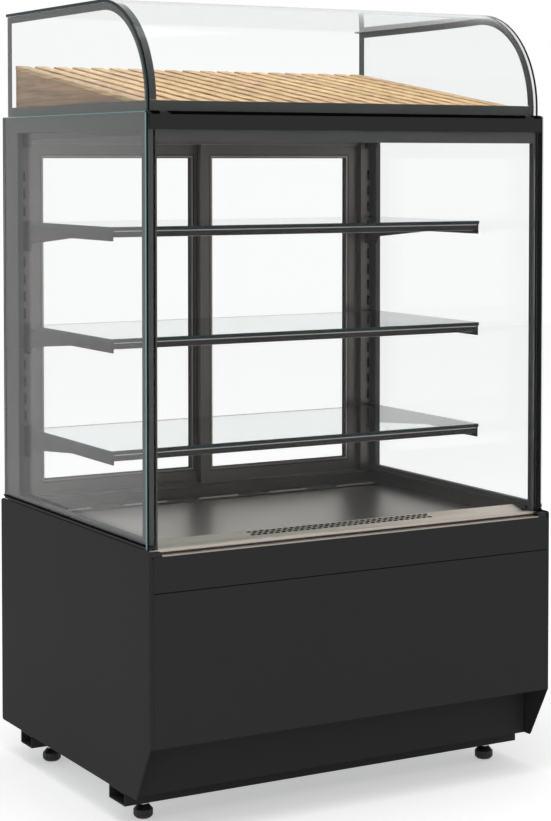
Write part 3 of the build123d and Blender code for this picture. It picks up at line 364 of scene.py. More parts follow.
# Painted highlight: a pale copy of the steel for the front ridge, also worn by the foil at the front unit's
# foot.
stainless_pale_highlight = brushed_metal("stainless_ridge_pale_painted_highlight", "#f0e3d8", 0.55, **steel, shade=0.04)
# Painted shade: a dark copy of the steel, worn by the rear grille and the deck's trims.
stainless_painted_shade = brushed_metal("stainless_steel_painted_shade", "#45413e", 0.4, **steel, shade=0.04)

galvanised, tree, out = finish_named("galvanised_steel")
place = add(tree, "ShaderNodeTexCoord")
spangle = add(
    tree,
    "ShaderNodeTexVoronoi",
    [(place.outputs["Object"], "Vector")],
    inputs_set={"Scale": 1 / SPANGLE},
)
flake = add(
    tree,
    "ShaderNodeMix",
    [(spangle.outputs["Color"], "Factor")],
    data_type="RGBA",
    inputs_set={6: linear("#8f9597"), 7: linear("#b4babc")},
)
zinc = add(
    tree,
    "ShaderNodeBsdfPrincipled",
    [(flake.outputs[2], "Base Color")],
    inputs_set={"Metallic": 1.0, "Roughness": 0.42},
)
tree.links.new(zinc.outputs[0], out.inputs["Surface"])
print(stainless.name, stainless_highlight.name, galvanised.name)


# %% [markdown]
# ## Anodised aluminium
#
# The door sashes, their frame and the slotted posts are extruded aluminium, anodised to a dark warm grey.
# Extrusion leaves long faint lines along the bar. Anodising keeps the metal's sheen but darkens it, so the
# sashes catch soft brownish light on some faces and go nearly black on others. The coils' fins, the copper
# pipes and the zinc-plated screws are drawn, rolled or plated, so the same stretched noise serves them.

# %% Anodised aluminium
DIE_LINE = 1.2 * MM
DIE_LONG = 400 * MM

bar = {"wide": DIE_LINE, "long": DIE_LONG}
sash_metal = brushed_metal(
    "anodised_aluminium_bronze_grey", "#5b5754", 0.36, **bar, along="z", relief=0.08, shade=0.06
)
rail_metal = brushed_metal("anodised_aluminium_rail", "#605c58", 0.36, **bar, along="x", relief=0.08, shade=0.06)
coil_metal = brushed_metal("fin_aluminium", "#b9bcbe", 0.38, 2.2 * MM, 60 * MM, "z", 0.6, 0.25)
# Painted highlight: a brighter copy of the anodised aluminium for the sash step.
sash_step_highlight = brushed_metal("sash_step_painted_highlight", "#8b857f", 0.3, **bar, along="z", relief=0.02, shade=0.04)
copper = brushed_metal("drawn_copper", "#b5744f", 0.3, 2 * MM, 80 * MM, "z", 0.05, 0.12)
# Bright zinc plate for the screws and nuts, also used for painted glints on the bracket hooks.
zinc_and_glint = brushed_metal("zinc_plate_and_painted_glint", "#b7b7b2", 0.3, 0.6 * MM, 3 * MM, "x", 0.05, 0.08)
print(sash_metal.name, rail_metal.name, coil_metal.name, copper.name, zinc_and_glint.name)


# %% [markdown]
# ## Plastics and rubber
#
# Feet, switches, pulls and gland are black moulded plastic with a fine spark-eroded grain. Seals are black
# silicone, softer and duller. Spacer bars between the panes are dark grey with a matt dusty face, the tub
# liner's dark colour is painted shade, so that the air slots over it read black, and the light lenses are pale
# acrylic. The brackets and light bars are powder coated like the base. Slow clouds in the colour are about 70 mm
# apart.

# %% Moulded plastics
MOULD_GRAIN = 0.7 * MM
MOULD_CLOUDS = 14.0


def moulded(name, colour, roughness, grain=MOULD_GRAIN, relief=0.2, ior=1.45):
    """Moulded plastic or rubber: one colour with slight clouding, and a fine grain from the mould."""
    material, tree, out = finish_named(name)
    place = add(tree, "ShaderNodeTexCoord")
    texture = add(
        tree,
        "ShaderNodeTexNoise",
        [(place.outputs["Object"], "Vector")],
        inputs_set={"Scale": 1 / grain / 2, "Detail": 3.0},
    )
    cloud = add(
        tree,
        "ShaderNodeTexNoise",
        [(place.outputs["Object"], "Vector")],
        inputs_set={"Scale": MOULD_CLOUDS, "Detail": 2.0},
    )
    tone = add(
        tree,
        "ShaderNodeMix",
        [(cloud.outputs["Fac"], "Factor")],
        data_type="RGBA",
        inputs_set={6: toned(colour, 0.92), 7: toned(colour, 1.08)},
    )
    bump = add(
        tree,
        "ShaderNodeBump",
        [(texture.outputs["Fac"], "Height")],
        inputs_set={"Strength": relief, "Distance": 0.04 * MM},
    )
    gloss = add(
        tree,
        "ShaderNodeMapRange",
        [(texture.outputs["Fac"], "Value")],
        inputs_set={"To Min": roughness - 0.04, "To Max": roughness + 0.04},
    )
    plastic = add(
        tree,
        "ShaderNodeBsdfPrincipled",
        [
            (tone.outputs[2], "Base Color"),
            (gloss.outputs[0], "Roughness"),
            (bump.outputs[0], "Normal"),
        ],
        inputs_set={"IOR": ior},
    )
    tree.links.new(plastic.outputs[0], out.inputs["Surface"])
    return material


foot_plastic = moulded("black_polyamide", "#141414", 0.42)
control_plastic = moulded("black_abs", "#1c1c1d", 0.36)
# Black silicone for the seals, also used as painted shade behind the post slots.
silicone_and_shade = moulded("black_silicone_and_painted_shade", "#141515", 0.62, 1.2 * MM)
edge_bar = moulded("dark_grey_spacer_bar", "#3d3f3e", 0.55)
hood_band = moulded("dark_grey_edge_band", "#333534", 0.5)
ceiling_skin = moulded("dark_grey_ceiling_skin", "#262626", 0.55, 1.5 * MM)
bracket_coat = powder_coat("satin_powder_coat_bracket", "#2a2a29", 0.46)
light_body = powder_coat("satin_powder_coat_light_bar", "#323231", 0.4)
# Painted shade: the liner is dark so that the air slots over it read black.
liner_painted_shade = moulded("polystyrene_liner_painted_shade", "#1b1c1c", 0.5)
fan_plastic = moulded("black_glass_filled_nylon", "#1b1b1b", 0.5)
shell_paint = moulded("gloss_black_enamel", "#101010", 0.22, 3 * MM, 0.3)
lens_plastic = moulded("opal_acrylic", "#d9dcda", 0.35)
print("finishes so far", len(bpy.data.materials))


# %% [markdown]
# ## Glass
#
# The panes are clear float glass. A pane bends light, mirrors a little more at a flat angle, and swallows a
# bit of red over its depth, so that it is clear across its thickness and sea green along its edge. A
# Principled shader with full transmission gives the first two, and Volume Absorption the third. Lamps have
# to reach what is inside, so for shadow rays the pane is just see-through. The index of refraction of real
# float glass is 1.52. These panes mirror very little in the photograph, so 1.15 is used, and the absorption
# is matched to the photograph too: neither number is a property of real glass.

# %% Float glass
ABSORPTION = {"clear": 5.0, "shelf": 20.0, "hood": 14.0}
PANE_IOR = 1.15
DEPTH_TINT = "#b2c4c2"
SHADOW_TINT = "#eef6f5"


def float_glass(name, density):
    """Clear glass with a green depth, which lets lamps through."""
    material, tree, out = finish_named(name)
    pane = add(
        tree,
        "ShaderNodeBsdfPrincipled",
        inputs_set={
            "Base Color": WHITE,
            "Roughness": 0.0,
            "IOR": PANE_IOR,
            "Transmission Weight": 1.0,
        },
    )
    clear = add(tree, "ShaderNodeBsdfTransparent", inputs_set={"Color": linear(SHADOW_TINT)})
    path = add(tree, "ShaderNodeLightPath")
    mix = add(
        tree,
        "ShaderNodeMixShader",
        [(path.outputs["Is Shadow Ray"], 0), (pane.outputs[0], 1), (clear.outputs[0], 2)],
    )
    depth = add(
        tree,
        "ShaderNodeVolumeAbsorption",
        inputs_set={"Color": linear(DEPTH_TINT), "Density": density},
    )
    tree.links.new(mix.outputs[0], out.inputs["Surface"])
    tree.links.new(depth.outputs[0], out.inputs["Volume"])
    return material


case_glass = float_glass("clear_float_glass", ABSORPTION["clear"])
shelf_glass = float_glass("toughened_shelf_glass", ABSORPTION["shelf"])
hood_glass = float_glass("bent_hood_glass", ABSORPTION["hood"])
print(case_glass.name, shelf_glass.name, hood_glass.name)


# %% [markdown]
# ## Beech
#
# The bread rack is planed and oiled beech. Its grain runs along each slat, in streaks a few millimetres
# wide, with short darker flecks and one slat a little redder than the next. Noise textures are stretched
# along Y, and the slat's number, from its place across the rack, shifts its tone. The boards of the frame
# are cut the other way, with darker, wider grain that runs level. A noise texture's values mostly lie
# between 0.3 and 0.62, so that range is spread over the whole mix.

# %% Oiled beech
SLAT_PITCH = 42.8 * MM
GRAIN_WIDE = 3.0 * MM
GRAIN_LONG = 160 * MM
FLECK_LONG = 9 * MM
FLECK_WIDE = 0.9 * MM
BOARD_GRAIN = 7 * MM
NOISE_LOW, NOISE_HIGH = 0.3, 0.62


def beech(name, pale, dark, reach=(GRAIN_WIDE, GRAIN_LONG, GRAIN_WIDE)):
    """Planed beech with grain along one axis and a tone that changes from slat to slat."""
    material, tree, out = finish_named(name)
    place = add(tree, "ShaderNodeTexCoord")
    stretch = add(
        tree,
        "ShaderNodeMapping",
        [(place.outputs["Object"], "Vector")],
        inputs_set={"Scale": [1 / length for length in reach]},
    )
    grain = add(
        tree,
        "ShaderNodeTexNoise",
        [(stretch.outputs[0], "Vector")],
        inputs_set={"Scale": 0.55, "Detail": 6.0, "Roughness": 0.62, "Distortion": 0.6},
    )
    fleck_map = add(
        tree,
        "ShaderNodeMapping",
        [(place.outputs["Object"], "Vector")],
        inputs_set={"Scale": (1 / FLECK_WIDE, 1 / FLECK_LONG, 1 / FLECK_WIDE)},
    )
    fleck = add(
        tree,
        "ShaderNodeTexNoise",
        [(fleck_map.outputs[0], "Vector")],
        inputs_set={"Scale": 0.6, "Detail": 2.0},
    )
    parts = add(tree, "ShaderNodeSeparateXYZ", [(place.outputs["Object"], 0)])
    number = add(
        tree,
        "ShaderNodeMath",
        [(parts.outputs["X"], 0)],
        operation="DIVIDE",
        inputs_set={1: SLAT_PITCH},
    )
    whole = add(tree, "ShaderNodeMath", [(number.outputs[0], 0)], operation="FLOOR")
    lot = add(
        tree,
        "ShaderNodeTexWhiteNoise",
        [(whole.outputs[0], "W")],
        noise_dimensions="1D",
    )
    contrast = add(
        tree,
        "ShaderNodeMapRange",
        [(grain.outputs["Fac"], "Value")],
        inputs_set={"From Min": NOISE_LOW, "From Max": NOISE_HIGH},
    )
    ramp = add(
        tree,
        "ShaderNodeMix",
        [(contrast.outputs[0], "Factor")],
        data_type="RGBA",
        inputs_set={6: linear(dark), 7: linear(pale)},
    )
    shift = add(
        tree,
        "ShaderNodeMapRange",
        [(lot.outputs["Value"], "Value")],
        inputs_set={"To Min": 0.86, "To Max": 1.06},
    )
    speck = add(
        tree,
        "ShaderNodeMapRange",
        [(fleck.outputs["Fac"], "Value")],
        inputs_set={"From Min": NOISE_LOW, "From Max": NOISE_HIGH, "To Min": 0.88, "To Max": 1.0},
    )
    weight = add(
        tree,
        "ShaderNodeMath",
        [(shift.outputs[0], 0), (speck.outputs[0], 1)],
        operation="MULTIPLY",
    )
    tone = add(
        tree,
        "ShaderNodeVectorMath",
        [(ramp.outputs[2], 0), (weight.outputs[0], "Scale")],
        operation="SCALE",
    )
    bump = add(
        tree,
        "ShaderNodeBump",
        [(grain.outputs["Fac"], "Height")],
        inputs_set={"Strength": 0.25, "Distance": 0.15 * MM},
    )
    wood = add(
        tree,
        "ShaderNodeBsdfPrincipled",
        [(tone.outputs[0], "Base Color"), (bump.outputs[0], "Normal")],
        inputs_set={"Roughness": 0.5, "IOR": 1.48},
    )
    tree.links.new(wood.outputs[0], out.inputs["Surface"])
    return material


slat_beech = beech("oiled_beech_slats", "#e6bd87", "#8a6140")
board_beech = beech("oiled_beech_boards", "#b58a5e", "#4a3320", reach=(GRAIN_LONG, GRAIN_LONG, BOARD_GRAIN))
print(slat_beech.name, board_beech.name)


# %% [markdown]
# ## Give every CAD piece its finish
#
# A CAD node keeps its mesh, so only its material slots change. One table says which finish each node wears,
# and a check at the end of the cell makes sure that none is forgotten.

# %% Dress the nodes
finish_of = {
    base_coat: "left_side_panel right_side_panel front_fascia front_lower_panel kick_plate cross_rails "
    "rear_control_panel rear_vent_panel",
    galvanised: "base_tray inner_frame condenser_shroud condensate_pan",
    stainless: "deck_tray",
    stainless_pale_highlight: "front_air_grille",
    stainless_painted_shade: "rear_air_grille deck_trims",
    zinc_and_glint: "panel_screws foot_lock_nuts",
    foot_plastic: "front_left_foot front_right_foot rear_left_foot rear_right_foot",
    case_glass: "front_glass left_side_glass right_side_glass left_door_glass right_door_glass",
    shelf_glass: "upper_glass_shelf middle_glass_shelf lower_glass_shelf",
    hood_glass: "bent_hood_glass hood_side_panes",
    edge_bar: "glass_spacers",
    hood_band: "hood_edge_trim hood_spacers",
    silicone_and_shade: "glazing_seals",
    header_coat: "header_rail",
    ceiling_skin: "ceiling_panel",
    bracket_coat: "shelf_brackets",
    sash_metal: "left_door_frame right_door_frame slotted_posts",
    rail_metal: "rear_door_frame",
    light_body: "led_lights",
    slat_beech: "rack_slats",
    board_beech: "rack_frame",
    shell_paint: "compressor",
    coil_metal: "condenser_coil evaporator_coil evaporator_fan",
    fan_plastic: "condenser_fan",
    copper: "refrigerant_pipes",
    liner_painted_shade: "insulated_tub",
    control_plastic: "temperature_controller switch_housings power_switch light_switch left_door_handle "
    "right_door_handle cable_gland",
}
dressed = set()
for material, names in finish_of.items():
    for name in names.split():
        slots = nodes[name].material_slots
        if not slots:
            nodes[name].data.materials.append(material)
        for slot in slots:
            slot.material = material
        dressed.add(name)
bare = set(nodes) - dressed
print("dressed", len(dressed), "bare", sorted(bare))
assert not bare, bare


# %% [markdown]
# ## Tools for the small pieces
#
# Seals, lips, lenses and bright edges are all long thin strips. A real strip never has a razor edge, so each
# one starts as a cube operator, is scaled to size and has its edges rounded with a bevel. The case is nearly
# symmetric, so one tool gives the span of a strip on its left or right half. Another turns a finished shape
# into an object, gives it a finish and says which body it rides on. Sizes are millimetres.

# %% Strips and finished pieces
EDGE_ROUND = 0.12
WELD = 0.01 * MM


def half_span(side, near, far):
    """The X span from near to far on the right (1) or the left (-1) half of the case."""
    return sorted((side * near, side * far))


def strip(shape, x, y, z, round_off=EDGE_ROUND, segments=1):
    """Add one straight strip that fills three spans, with its edges rounded, and return its vertices."""
    old = set(shape.verts)
    made = bmesh.ops.create_cube(shape, size=1.0)["verts"]
    bmesh.ops.scale(shape, vec=[(high - low) * MM for low, high in (x, y, z)], verts=made)
    bmesh.ops.translate(shape, vec=[(high + low) / 2 * MM for low, high in (x, y, z)], verts=made)
    bmesh.ops.bevel(
        shape,
        geom=list({edge for vert in made for edge in vert.link_edges}),
        offset=round_off * MM,
        segments=segments,
        profile=0.5,
        affect="EDGES",
        material=-1,
    )
    return [vert for vert in shape.verts if vert not in old]


def finish_piece(name, shape, material, body="cabinet", replaces=None, smooth=False):
    """Turn a shape into an object that rides on a body."""
    bmesh.ops.remove_doubles(shape, verts=shape.verts, dist=WELD)
    bmesh.ops.recalc_face_normals(shape, faces=shape.faces)
    for face in shape.faces:
        face.smooth = smooth
    mesh = bpy.data.meshes.new(name)
    shape.to_mesh(mesh)
    shape.free()
    mesh.materials.append(material)
    piece = bpy.data.objects.new(name, mesh)
    bpy.context.scene.collection.objects.link(piece)
    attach(piece, body)
    if replaces:
        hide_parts(replaces)
    print(name, "rides on", body, "with", len(mesh.polygons), "faces")


# %% [markdown]
# ## Polished glass edges
#
# Along a cut edge one looks down the whole depth of a pane, so the edge is dark sea green, with a light line
# where the polished arris catches the light. Tracing that through real glass needs many bounces and comes out
# as bright cyan, so each edge gets a thin opaque skin with that look painted in: the sea green of the glass with
# painted shade on the shelves, and with painted light on the left edge of the front pane.

# %% Skins for the cut edges
# Opaque skins for glass edges: the glass's green with painted shade, and with painted light.
glass_edge_shaded = moulded("glass_edge_green_painted_shade", "#203436", 0.3, 5 * MM, 0.05, ior=1.15)
glass_edge_lit = moulded("glass_edge_green_painted_light", "#7dadac", 0.3, 5 * MM, 0.05, ior=1.2)
# Black for printed borders, and as painted shade in slots, grooves, recesses and on a cut edge.
print_and_shade_black = moulded("black_print_and_painted_shade", "#070909", 0.4, 2 * MM, 0.05, ior=1.12)
# Painted highlight: a bright aluminium for the rib tops and the light bars' lips.
highlight_metal = brushed_metal("aluminium_painted_highlight", "#b3ada6", 0.3, 1.0 * MM, 200 * MM, "x", 0.02, 0.05)

SHELF_TOPS = {"lower": 688.0, "middle": 901.5, "upper": 1114.0}
SHELF_X, SHELF_FRONT, SHELF_BACK, SHELF_THICK = 422.0, -141.5, 247.5, 7.0
SKIN = 0.3
ARRIS = 0.1

for name, top in SHELF_TOPS.items():
    edges = bmesh.new()
    depth = (top - SHELF_THICK + ARRIS, top - ARRIS)
    strip(edges, (-SHELF_X, SHELF_X), (SHELF_FRONT - SKIN, SHELF_FRONT), depth)
    strip(edges, (-SHELF_X, SHELF_X), (SHELF_BACK, SHELF_BACK + SKIN), depth)
    for side in (-1, 1):
        strip(edges, half_span(side, SHELF_X, SHELF_X + SKIN), (SHELF_FRONT, SHELF_BACK), depth)
    finish_piece(name + "_shelf_polished_edge", edges, glass_edge_shaded)


# %% [markdown]
# ## Edges of the case's panes
#
# The front pane laps over the side units, so its left edge shows as a pale green line, a skin of the glass's
# green with painted light. A side unit has two panes, and their tops and rear ends show as well; the tops are
# the same painted light. Glass makers print a black border where a pane is bonded, and seen edge-on that print
# is a thin black line. Each line is a skin of a few tenths of a millimetre.

# %% Skins for the front pane and the side panes
PANE_X, PANE_FRONT, PANE_BACK = 445.0, -333.5, -328.5
PANE_Z = (524.0, 1327.0)
SIDE_PANES = ((425.2, 428.8), (441.2, 444.8))
SIDE_FRONT, SIDE_BACK, SIDE_LOW, SIDE_TOP = -328.0, 343.0, 540.5, 1329.0
OUTER_FACE = (445.0, 445.25)
BEHIND_PANE = (PANE_BACK - 0.5, PANE_BACK - 0.2)

left_edge = bmesh.new()
strip(left_edge, (-PANE_X - SKIN, -PANE_X), (PANE_FRONT, PANE_BACK), PANE_Z)
finish_piece("front_pane_left_edge", left_edge, glass_edge_lit)

# The side panes' tops wear the pale edge skin, painted light.
side_tops = bmesh.new()
side_ends = bmesh.new()
for side in (-1, 1):
    for pane in SIDE_PANES:
        span = half_span(side, *pane)
        strip(side_tops, span, (SIDE_FRONT, SIDE_BACK), (SIDE_TOP, SIDE_TOP + SKIN))
        strip(side_ends, span, (SIDE_BACK, SIDE_BACK + SKIN), (SIDE_LOW, SIDE_TOP - 0.2))
    span = half_span(side, *OUTER_FACE)
    strip(side_tops, span, (SIDE_FRONT, SIDE_BACK - 2.5), (SIDE_TOP - 1.4, SIDE_TOP + 0.2))
    strip(side_ends, span, (SIDE_BACK - 2.2, SIDE_BACK + 0.3), (SIDE_LOW, SIDE_TOP + 0.2))
finish_piece("side_pane_top_edges", side_tops, glass_edge_lit)
finish_piece("side_pane_rear_edges", side_ends, print_and_shade_black)

corner_print = bmesh.new()
strip(corner_print, (-PANE_X + 0.2, -441.0), (PANE_FRONT + 0.2, PANE_FRONT + 0.5), PANE_Z)
for span in ((427.0, 431.0), (432.0, PANE_X - 0.2)):
    strip(corner_print, span, BEHIND_PANE, PANE_Z)
finish_piece("front_pane_edge_print", corner_print, print_and_shade_black)


# %% [markdown]
# ## Foil and hem at the foot of the front unit
#
# The spacer bar along the bottom of a double pane is bright foil on the side that faces the room, drawn in the
# pale steel of the ridge with its painted highlight. The steel ledge in front of the glass ends in a folded hem,
# rounder than the flat sheet behind it; the hem and a skin over the ledge are a brighter steel, a painted
# highlight.

# %% Foil and hem
FOIL_Z = (525.6, 530.2)
HEM_Y, HEM_Z, HEM_ROUND = (-351.6, -349.6), (521.0, 523.9), 0.8

foil = bmesh.new()
strip(foil, (-441.0, 441.0), BEHIND_PANE, FOIL_Z)
strip(foil, (-421.0, 421.0), (-328.2, -315.8), (530.05, 530.35))
finish_piece("front_unit_foil", foil, stainless_pale_highlight)

# The hem and the ledge skin carry a painted highlight.
hem = bmesh.new()
strip(hem, (-423.0, 423.0), HEM_Y, HEM_Z, HEM_ROUND, 2)
strip(hem, (-422.8, 422.8), (-350.0, -335.2), (522.5, 522.9))
finish_piece("ledge_hem_painted_highlight", hem, stainless_highlight)


# %% [markdown]
# ## Edges of the bent hood
#
# The hood pane goes straight up, round a quarter circle and straight back. Its left end shows as a dark green
# line, the glass's green with painted shade, and a black line of print lies beside each end; the right end's
# cut face is painted shade in black. A small rectangle is extruded up the straight part, spun round the bend
# and extruded back, which is also how a trim would be bent over a former.

# %% Bent edge skins
HOOD_X, HOOD_LOW, HOOD_BACK = 436.5, 1330.0, 343.5
BEND_RADIUS, BEND_Y, BEND_Z = 200.0, -123.5, 1343.5
BEND_STEPS = 24
CUT_EDGE = (BEND_RADIUS - 5.9, BEND_RADIUS - 0.1)
PRINT_BAND = (BEND_RADIUS - 0.6, BEND_RADIUS - 0.2)


def new_parts(made, kind):
    """Pick the vertices or the faces out of what an operator made."""
    return [part for part in made if isinstance(part, kind)]


def bent_strip(shape, x, radii):
    """Sweep a small rectangle up, round the bend and back."""
    corners = [(x[0], radii[0]), (x[1], radii[0]), (x[1], radii[1]), (x[0], radii[1])]
    ring = [shape.verts.new((a * MM, (BEND_Y - r) * MM, HOOD_LOW * MM)) for a, r in corners]
    start = shape.faces.new(ring)
    moved = bmesh.ops.extrude_face_region(shape, geom=[start])["geom"]
    bmesh.ops.translate(
        shape,
        vec=(0, 0, (BEND_Z - HOOD_LOW) * MM),
        verts=new_parts(moved, bmesh.types.BMVert),
    )
    turned = bmesh.ops.spin(
        shape,
        geom=new_parts(moved, bmesh.types.BMFace),
        cent=(0, BEND_Y * MM, BEND_Z * MM),
        axis=(1, 0, 0),
        angle=-math.pi / 2,
        steps=BEND_STEPS,
    )["geom_last"]
    last = new_parts(turned, bmesh.types.BMFace)
    back = bmesh.ops.extrude_face_region(shape, geom=last)["geom"]
    bmesh.ops.translate(
        shape,
        vec=(0, (HOOD_BACK - BEND_Y) * MM, 0),
        verts=new_parts(back, bmesh.types.BMVert),
    )


hood_end = bmesh.new()
bent_strip(hood_end, (-HOOD_X - SKIN, -HOOD_X), CUT_EDGE)
finish_piece("hood_left_cut_edge", hood_end, glass_edge_shaded)

hood_lines = bmesh.new()
bent_strip(hood_lines, (-HOOD_X + 0.1, -HOOD_X + 1.2), PRINT_BAND)
bent_strip(hood_lines, (HOOD_X - 4.2, HOOD_X - 0.1), PRINT_BAND)
# The right end's cut face, painted shade in black.
bent_strip(hood_lines, (HOOD_X, HOOD_X + SKIN), CUT_EDGE)
finish_piece("hood_edge_print_and_shade", hood_lines, print_and_shade_black)


# %% [markdown]
# ## The seal between case and hood
#
# The hood stands on four pads, and a black foam strip closes the 3 mm gap along the front. The same foam lies
# as a bead under each side unit, so that no draught or crumb gets below the glass.

# %% Foam strip
# Black foam for the seals, also used as painted shade in the air slots.
foam_and_shade = moulded("black_foam_and_painted_shade", "#060606", 0.9, 1.5 * MM, 0.6, ior=1.08)
PAD_FROM, PAD_TO, PAD_ROOM = 398.0, 418.0, 0.4
SEAL_X = 435.5

gap_seal = bmesh.new()
between_pads = (PAD_ROOM - PAD_FROM, PAD_FROM - PAD_ROOM)
for x in ((-SEAL_X, -PAD_TO - PAD_ROOM), between_pads, (PAD_TO + PAD_ROOM, SEAL_X)):
    strip(gap_seal, x, (-333.2, -316.8), (1327.1, 1329.9), 0.5, 2)
    strip(gap_seal, x, (-336.0, -333.0), (1323.6, 1329.4), 0.5, 2)
finish_piece("hood_front_seal", gap_seal, foam_and_shade)

side_beads = bmesh.new()
for side in (-1, 1):
    strip(side_beads, half_span(side, 445.1, 448.2), (SIDE_FRONT, SIDE_BACK), (537.6, 541.2), 0.6, 2)
finish_piece("side_unit_beads", side_beads, foam_and_shade)


# %% [markdown]
# ## Tracks, posts and brackets
#
# The doors run between aluminium ribs, and a painted highlight lies along their tops. The posts are open
# channels, and the dark seen through their slots is painted shade: a black back in each channel and a black
# strip in each slot. Where a bracket is hooked in, a small plate lies on the post, with two hook ends drawn
# as painted glints.

# %% Rib-top highlights, post shade and hook plates
RIBS = (298.0, 319.7, 341.4)
RIB_X = (-397.5, 397.5)
SLOT_COUNT, SLOT_STEP, SLOT_TALL, TOP_SLOT = 17, 35.5, 22.0, 1218.0
CEILING_PLATE = (1266.5, 1295.5)
PLATE_HALVES = ((409.0, 416.8), (420.2, 424.2))
HOOK_AT, HOOK_HALF = (413.5, 422.2), 0.9

# A painted highlight along the top of each track rib.
rib_glints = bmesh.new()
for y in RIBS:
    for z in ((536.0, 536.5), (1274.5, 1275.0)):
        strip(rib_glints, RIB_X, (y + 0.1, y + 1.5), z)
finish_piece("track_rib_top_highlights", rib_glints, highlight_metal)

# Painted shade: a black back in each post channel and a black strip in each slot.
post_back_shade = bmesh.new()
post_slot_shade = bmesh.new()
for side in (-1, 1):
    strip(post_back_shade, half_span(side, 410.0, 422.8), (292.6, 293.4), (560.0, 1290.0))
    for number in range(SLOT_COUNT):
        z = TOP_SLOT - number * SLOT_STEP
        strip(post_slot_shade, half_span(side, 415.0, 422.0), (287.2, 288.6), (z - SLOT_TALL, z), 0.4)
finish_piece("post_channel_painted_shade", post_back_shade, silicone_and_shade)
finish_piece("post_slot_painted_shade", post_slot_shade, print_and_shade_black)

plates = bmesh.new()
hook_glints = bmesh.new()
for side in (-1, 1):
    for low, high in [(top - 61, top + 1) for top in SHELF_TOPS.values()] + [CEILING_PLATE]:
        for half in PLATE_HALVES:
            strip(plates, half_span(side, *half), (286.2, 287.4), (low, high), 0.4, 2)
        # Painted glints: two short bright zinc strips on each plate stand for the lit hook ends.
        for x in HOOK_AT:
            span = half_span(side, x - HOOK_HALF, x + HOOK_HALF)
            strip(hook_glints, span, (285.7, 286.3), (high - 16, high - 8), 0.25, 2)
finish_piece("bracket_hook_plates", plates, bracket_coat)
finish_piece("bracket_hook_glints", hook_glints, zinc_and_glint)


# %% [markdown]
# ## Lights
#
# Each light bar is a dark profile with a painted highlight along its upper lip under the glass, and an opal lens
# on its underside.
# The lens is off in the photograph, so it is plain acrylic and gives no light.

# %% Lenses and lips
BAR_X, LENS_X = 416.0, 408.0
LENS_ROUND = 0.25

# Painted highlight: a thin bright strip along each light bar's upper lip.
lips = bmesh.new()
lenses = bmesh.new()
for top in SHELF_TOPS.values():
    strip(lips, (-BAR_X, BAR_X), (-141.4, -141.0), (top - 9.0, top - 7.4))
    strip(lenses, (-LENS_X, LENS_X), (-138.5, -126.0), (top - 20.0, top - 19.4), LENS_ROUND, 2)
strip(lenses, (-392.0, 392.0), (-303.0, -290.0), (1283.4, 1284.1), LENS_ROUND, 2)
finish_piece("light_bar_lip_highlights", lips, highlight_metal)
finish_piece("light_lenses", lenses, lens_plastic)


# %% [markdown]
# ## Door sashes
#
# A sash is a stepped profile: a flat face with a fine groove drawn black as painted shade, a step in a brighter
# aluminium as a painted highlight, then a rubber gasket where it grips the glass. Each line is two nested
# rectangles, bridged into a ring and extruded to a depth. All of it rides on its own door.

# %% Gaskets, grooves and steps
def frame_ring(shape, x, z, wide, y_from, y_to):
    """Add a rectangular ring: bridge two nested rectangles and extrude the ring to a depth."""
    edges = []
    for inset in (0.0, wide):
        spans = [(x[0] + inset, x[1] - inset), (z[0] + inset, z[1] - inset)]
        corners = [(spans[0][i], spans[1][j]) for i, j in ((0, 0), (1, 0), (1, 1), (0, 1))]
        loop = [shape.verts.new((a * MM, y_from * MM, b * MM)) for a, b in corners]
        edges += [shape.edges.new((loop[i - 1], loop[i])) for i in range(4)]
    ring = bmesh.ops.bridge_loops(shape, edges=edges)["faces"]
    moved = bmesh.ops.extrude_face_region(shape, geom=ring)["geom"]
    raised = new_parts(moved, bmesh.types.BMVert)
    bmesh.ops.translate(shape, vec=(0, (y_to - y_from) * MM, 0), verts=raised)


def widened(span, by):
    """Push both ends of a span outwards."""
    return (span[0] - by, span[1] + by)


# body: glass opening in X, glass faces in Y, sash faces in Y
DOORS = {
    "left_door": ((-360.3, -15.3), (328.4, 334.4), (322.9, 339.9)),
    "right_door": ((25.3, 367.3), (306.7, 312.7), (301.2, 318.2)),
}
OPENING_Z = (567.3, 1246.0)
GROOVE_OUT, STEP_OUT = 7.0, 3.4

for body, (x, glass_y, sash_y) in DOORS.items():
    gasket = bmesh.new()
    groove_shadows = bmesh.new()
    steps = bmesh.new()
    for near, far in zip(glass_y, sash_y):
        inward = 1 if far < near else -1
        frame_ring(gasket, x, OPENING_Z, 1.1, near - inward * 0.05, far + inward * 2.2)
        start = far + inward * 0.05
        # The groove is a black strip standing proud of the face, painted shade.
        ring = (widened(x, GROOVE_OUT), widened(OPENING_Z, GROOVE_OUT))
        frame_ring(groove_shadows, *ring, 1.6, start, far - inward * 0.12)
        # The step is a brighter aluminium, a painted highlight.
        ring = (widened(x, STEP_OUT), widened(OPENING_Z, STEP_OUT))
        frame_ring(steps, *ring, 2.4, start, far - inward * 0.4)
    finish_piece(body + "_gasket", gasket, silicone_and_shade, body)
    finish_piece(body + "_groove_painted_shade", groove_shadows, print_and_shade_black, body)
    finish_piece(body + "_step", steps, sash_step_highlight, body)


# %% [markdown]
# ## Air slots at the back
#
# The slots in the display floor are pressed, and the press leaves a rolled lip along each group at the back,
# drawn in a brighter steel as a painted highlight. The air duct below is unlit. The tub's liner would show in
# the slots as grey, so a dull black strip of painted shade lies in each one. The vents in the rear panel have a
# small awning over each slot, to keep out water and fingers.

# %% Rolled lips and awnings
GROUP_STEP, GROUP_HALF = 172.8, 49
DUCT_SLOTS, DUCT_STEP, DUCT_HALF = 10, 10.0, 2.7
VENT_X, COLUMN_STEP, AWNING_HALF = 200, 96, 42
VENT_Z, ROW_STEP = 185, 15

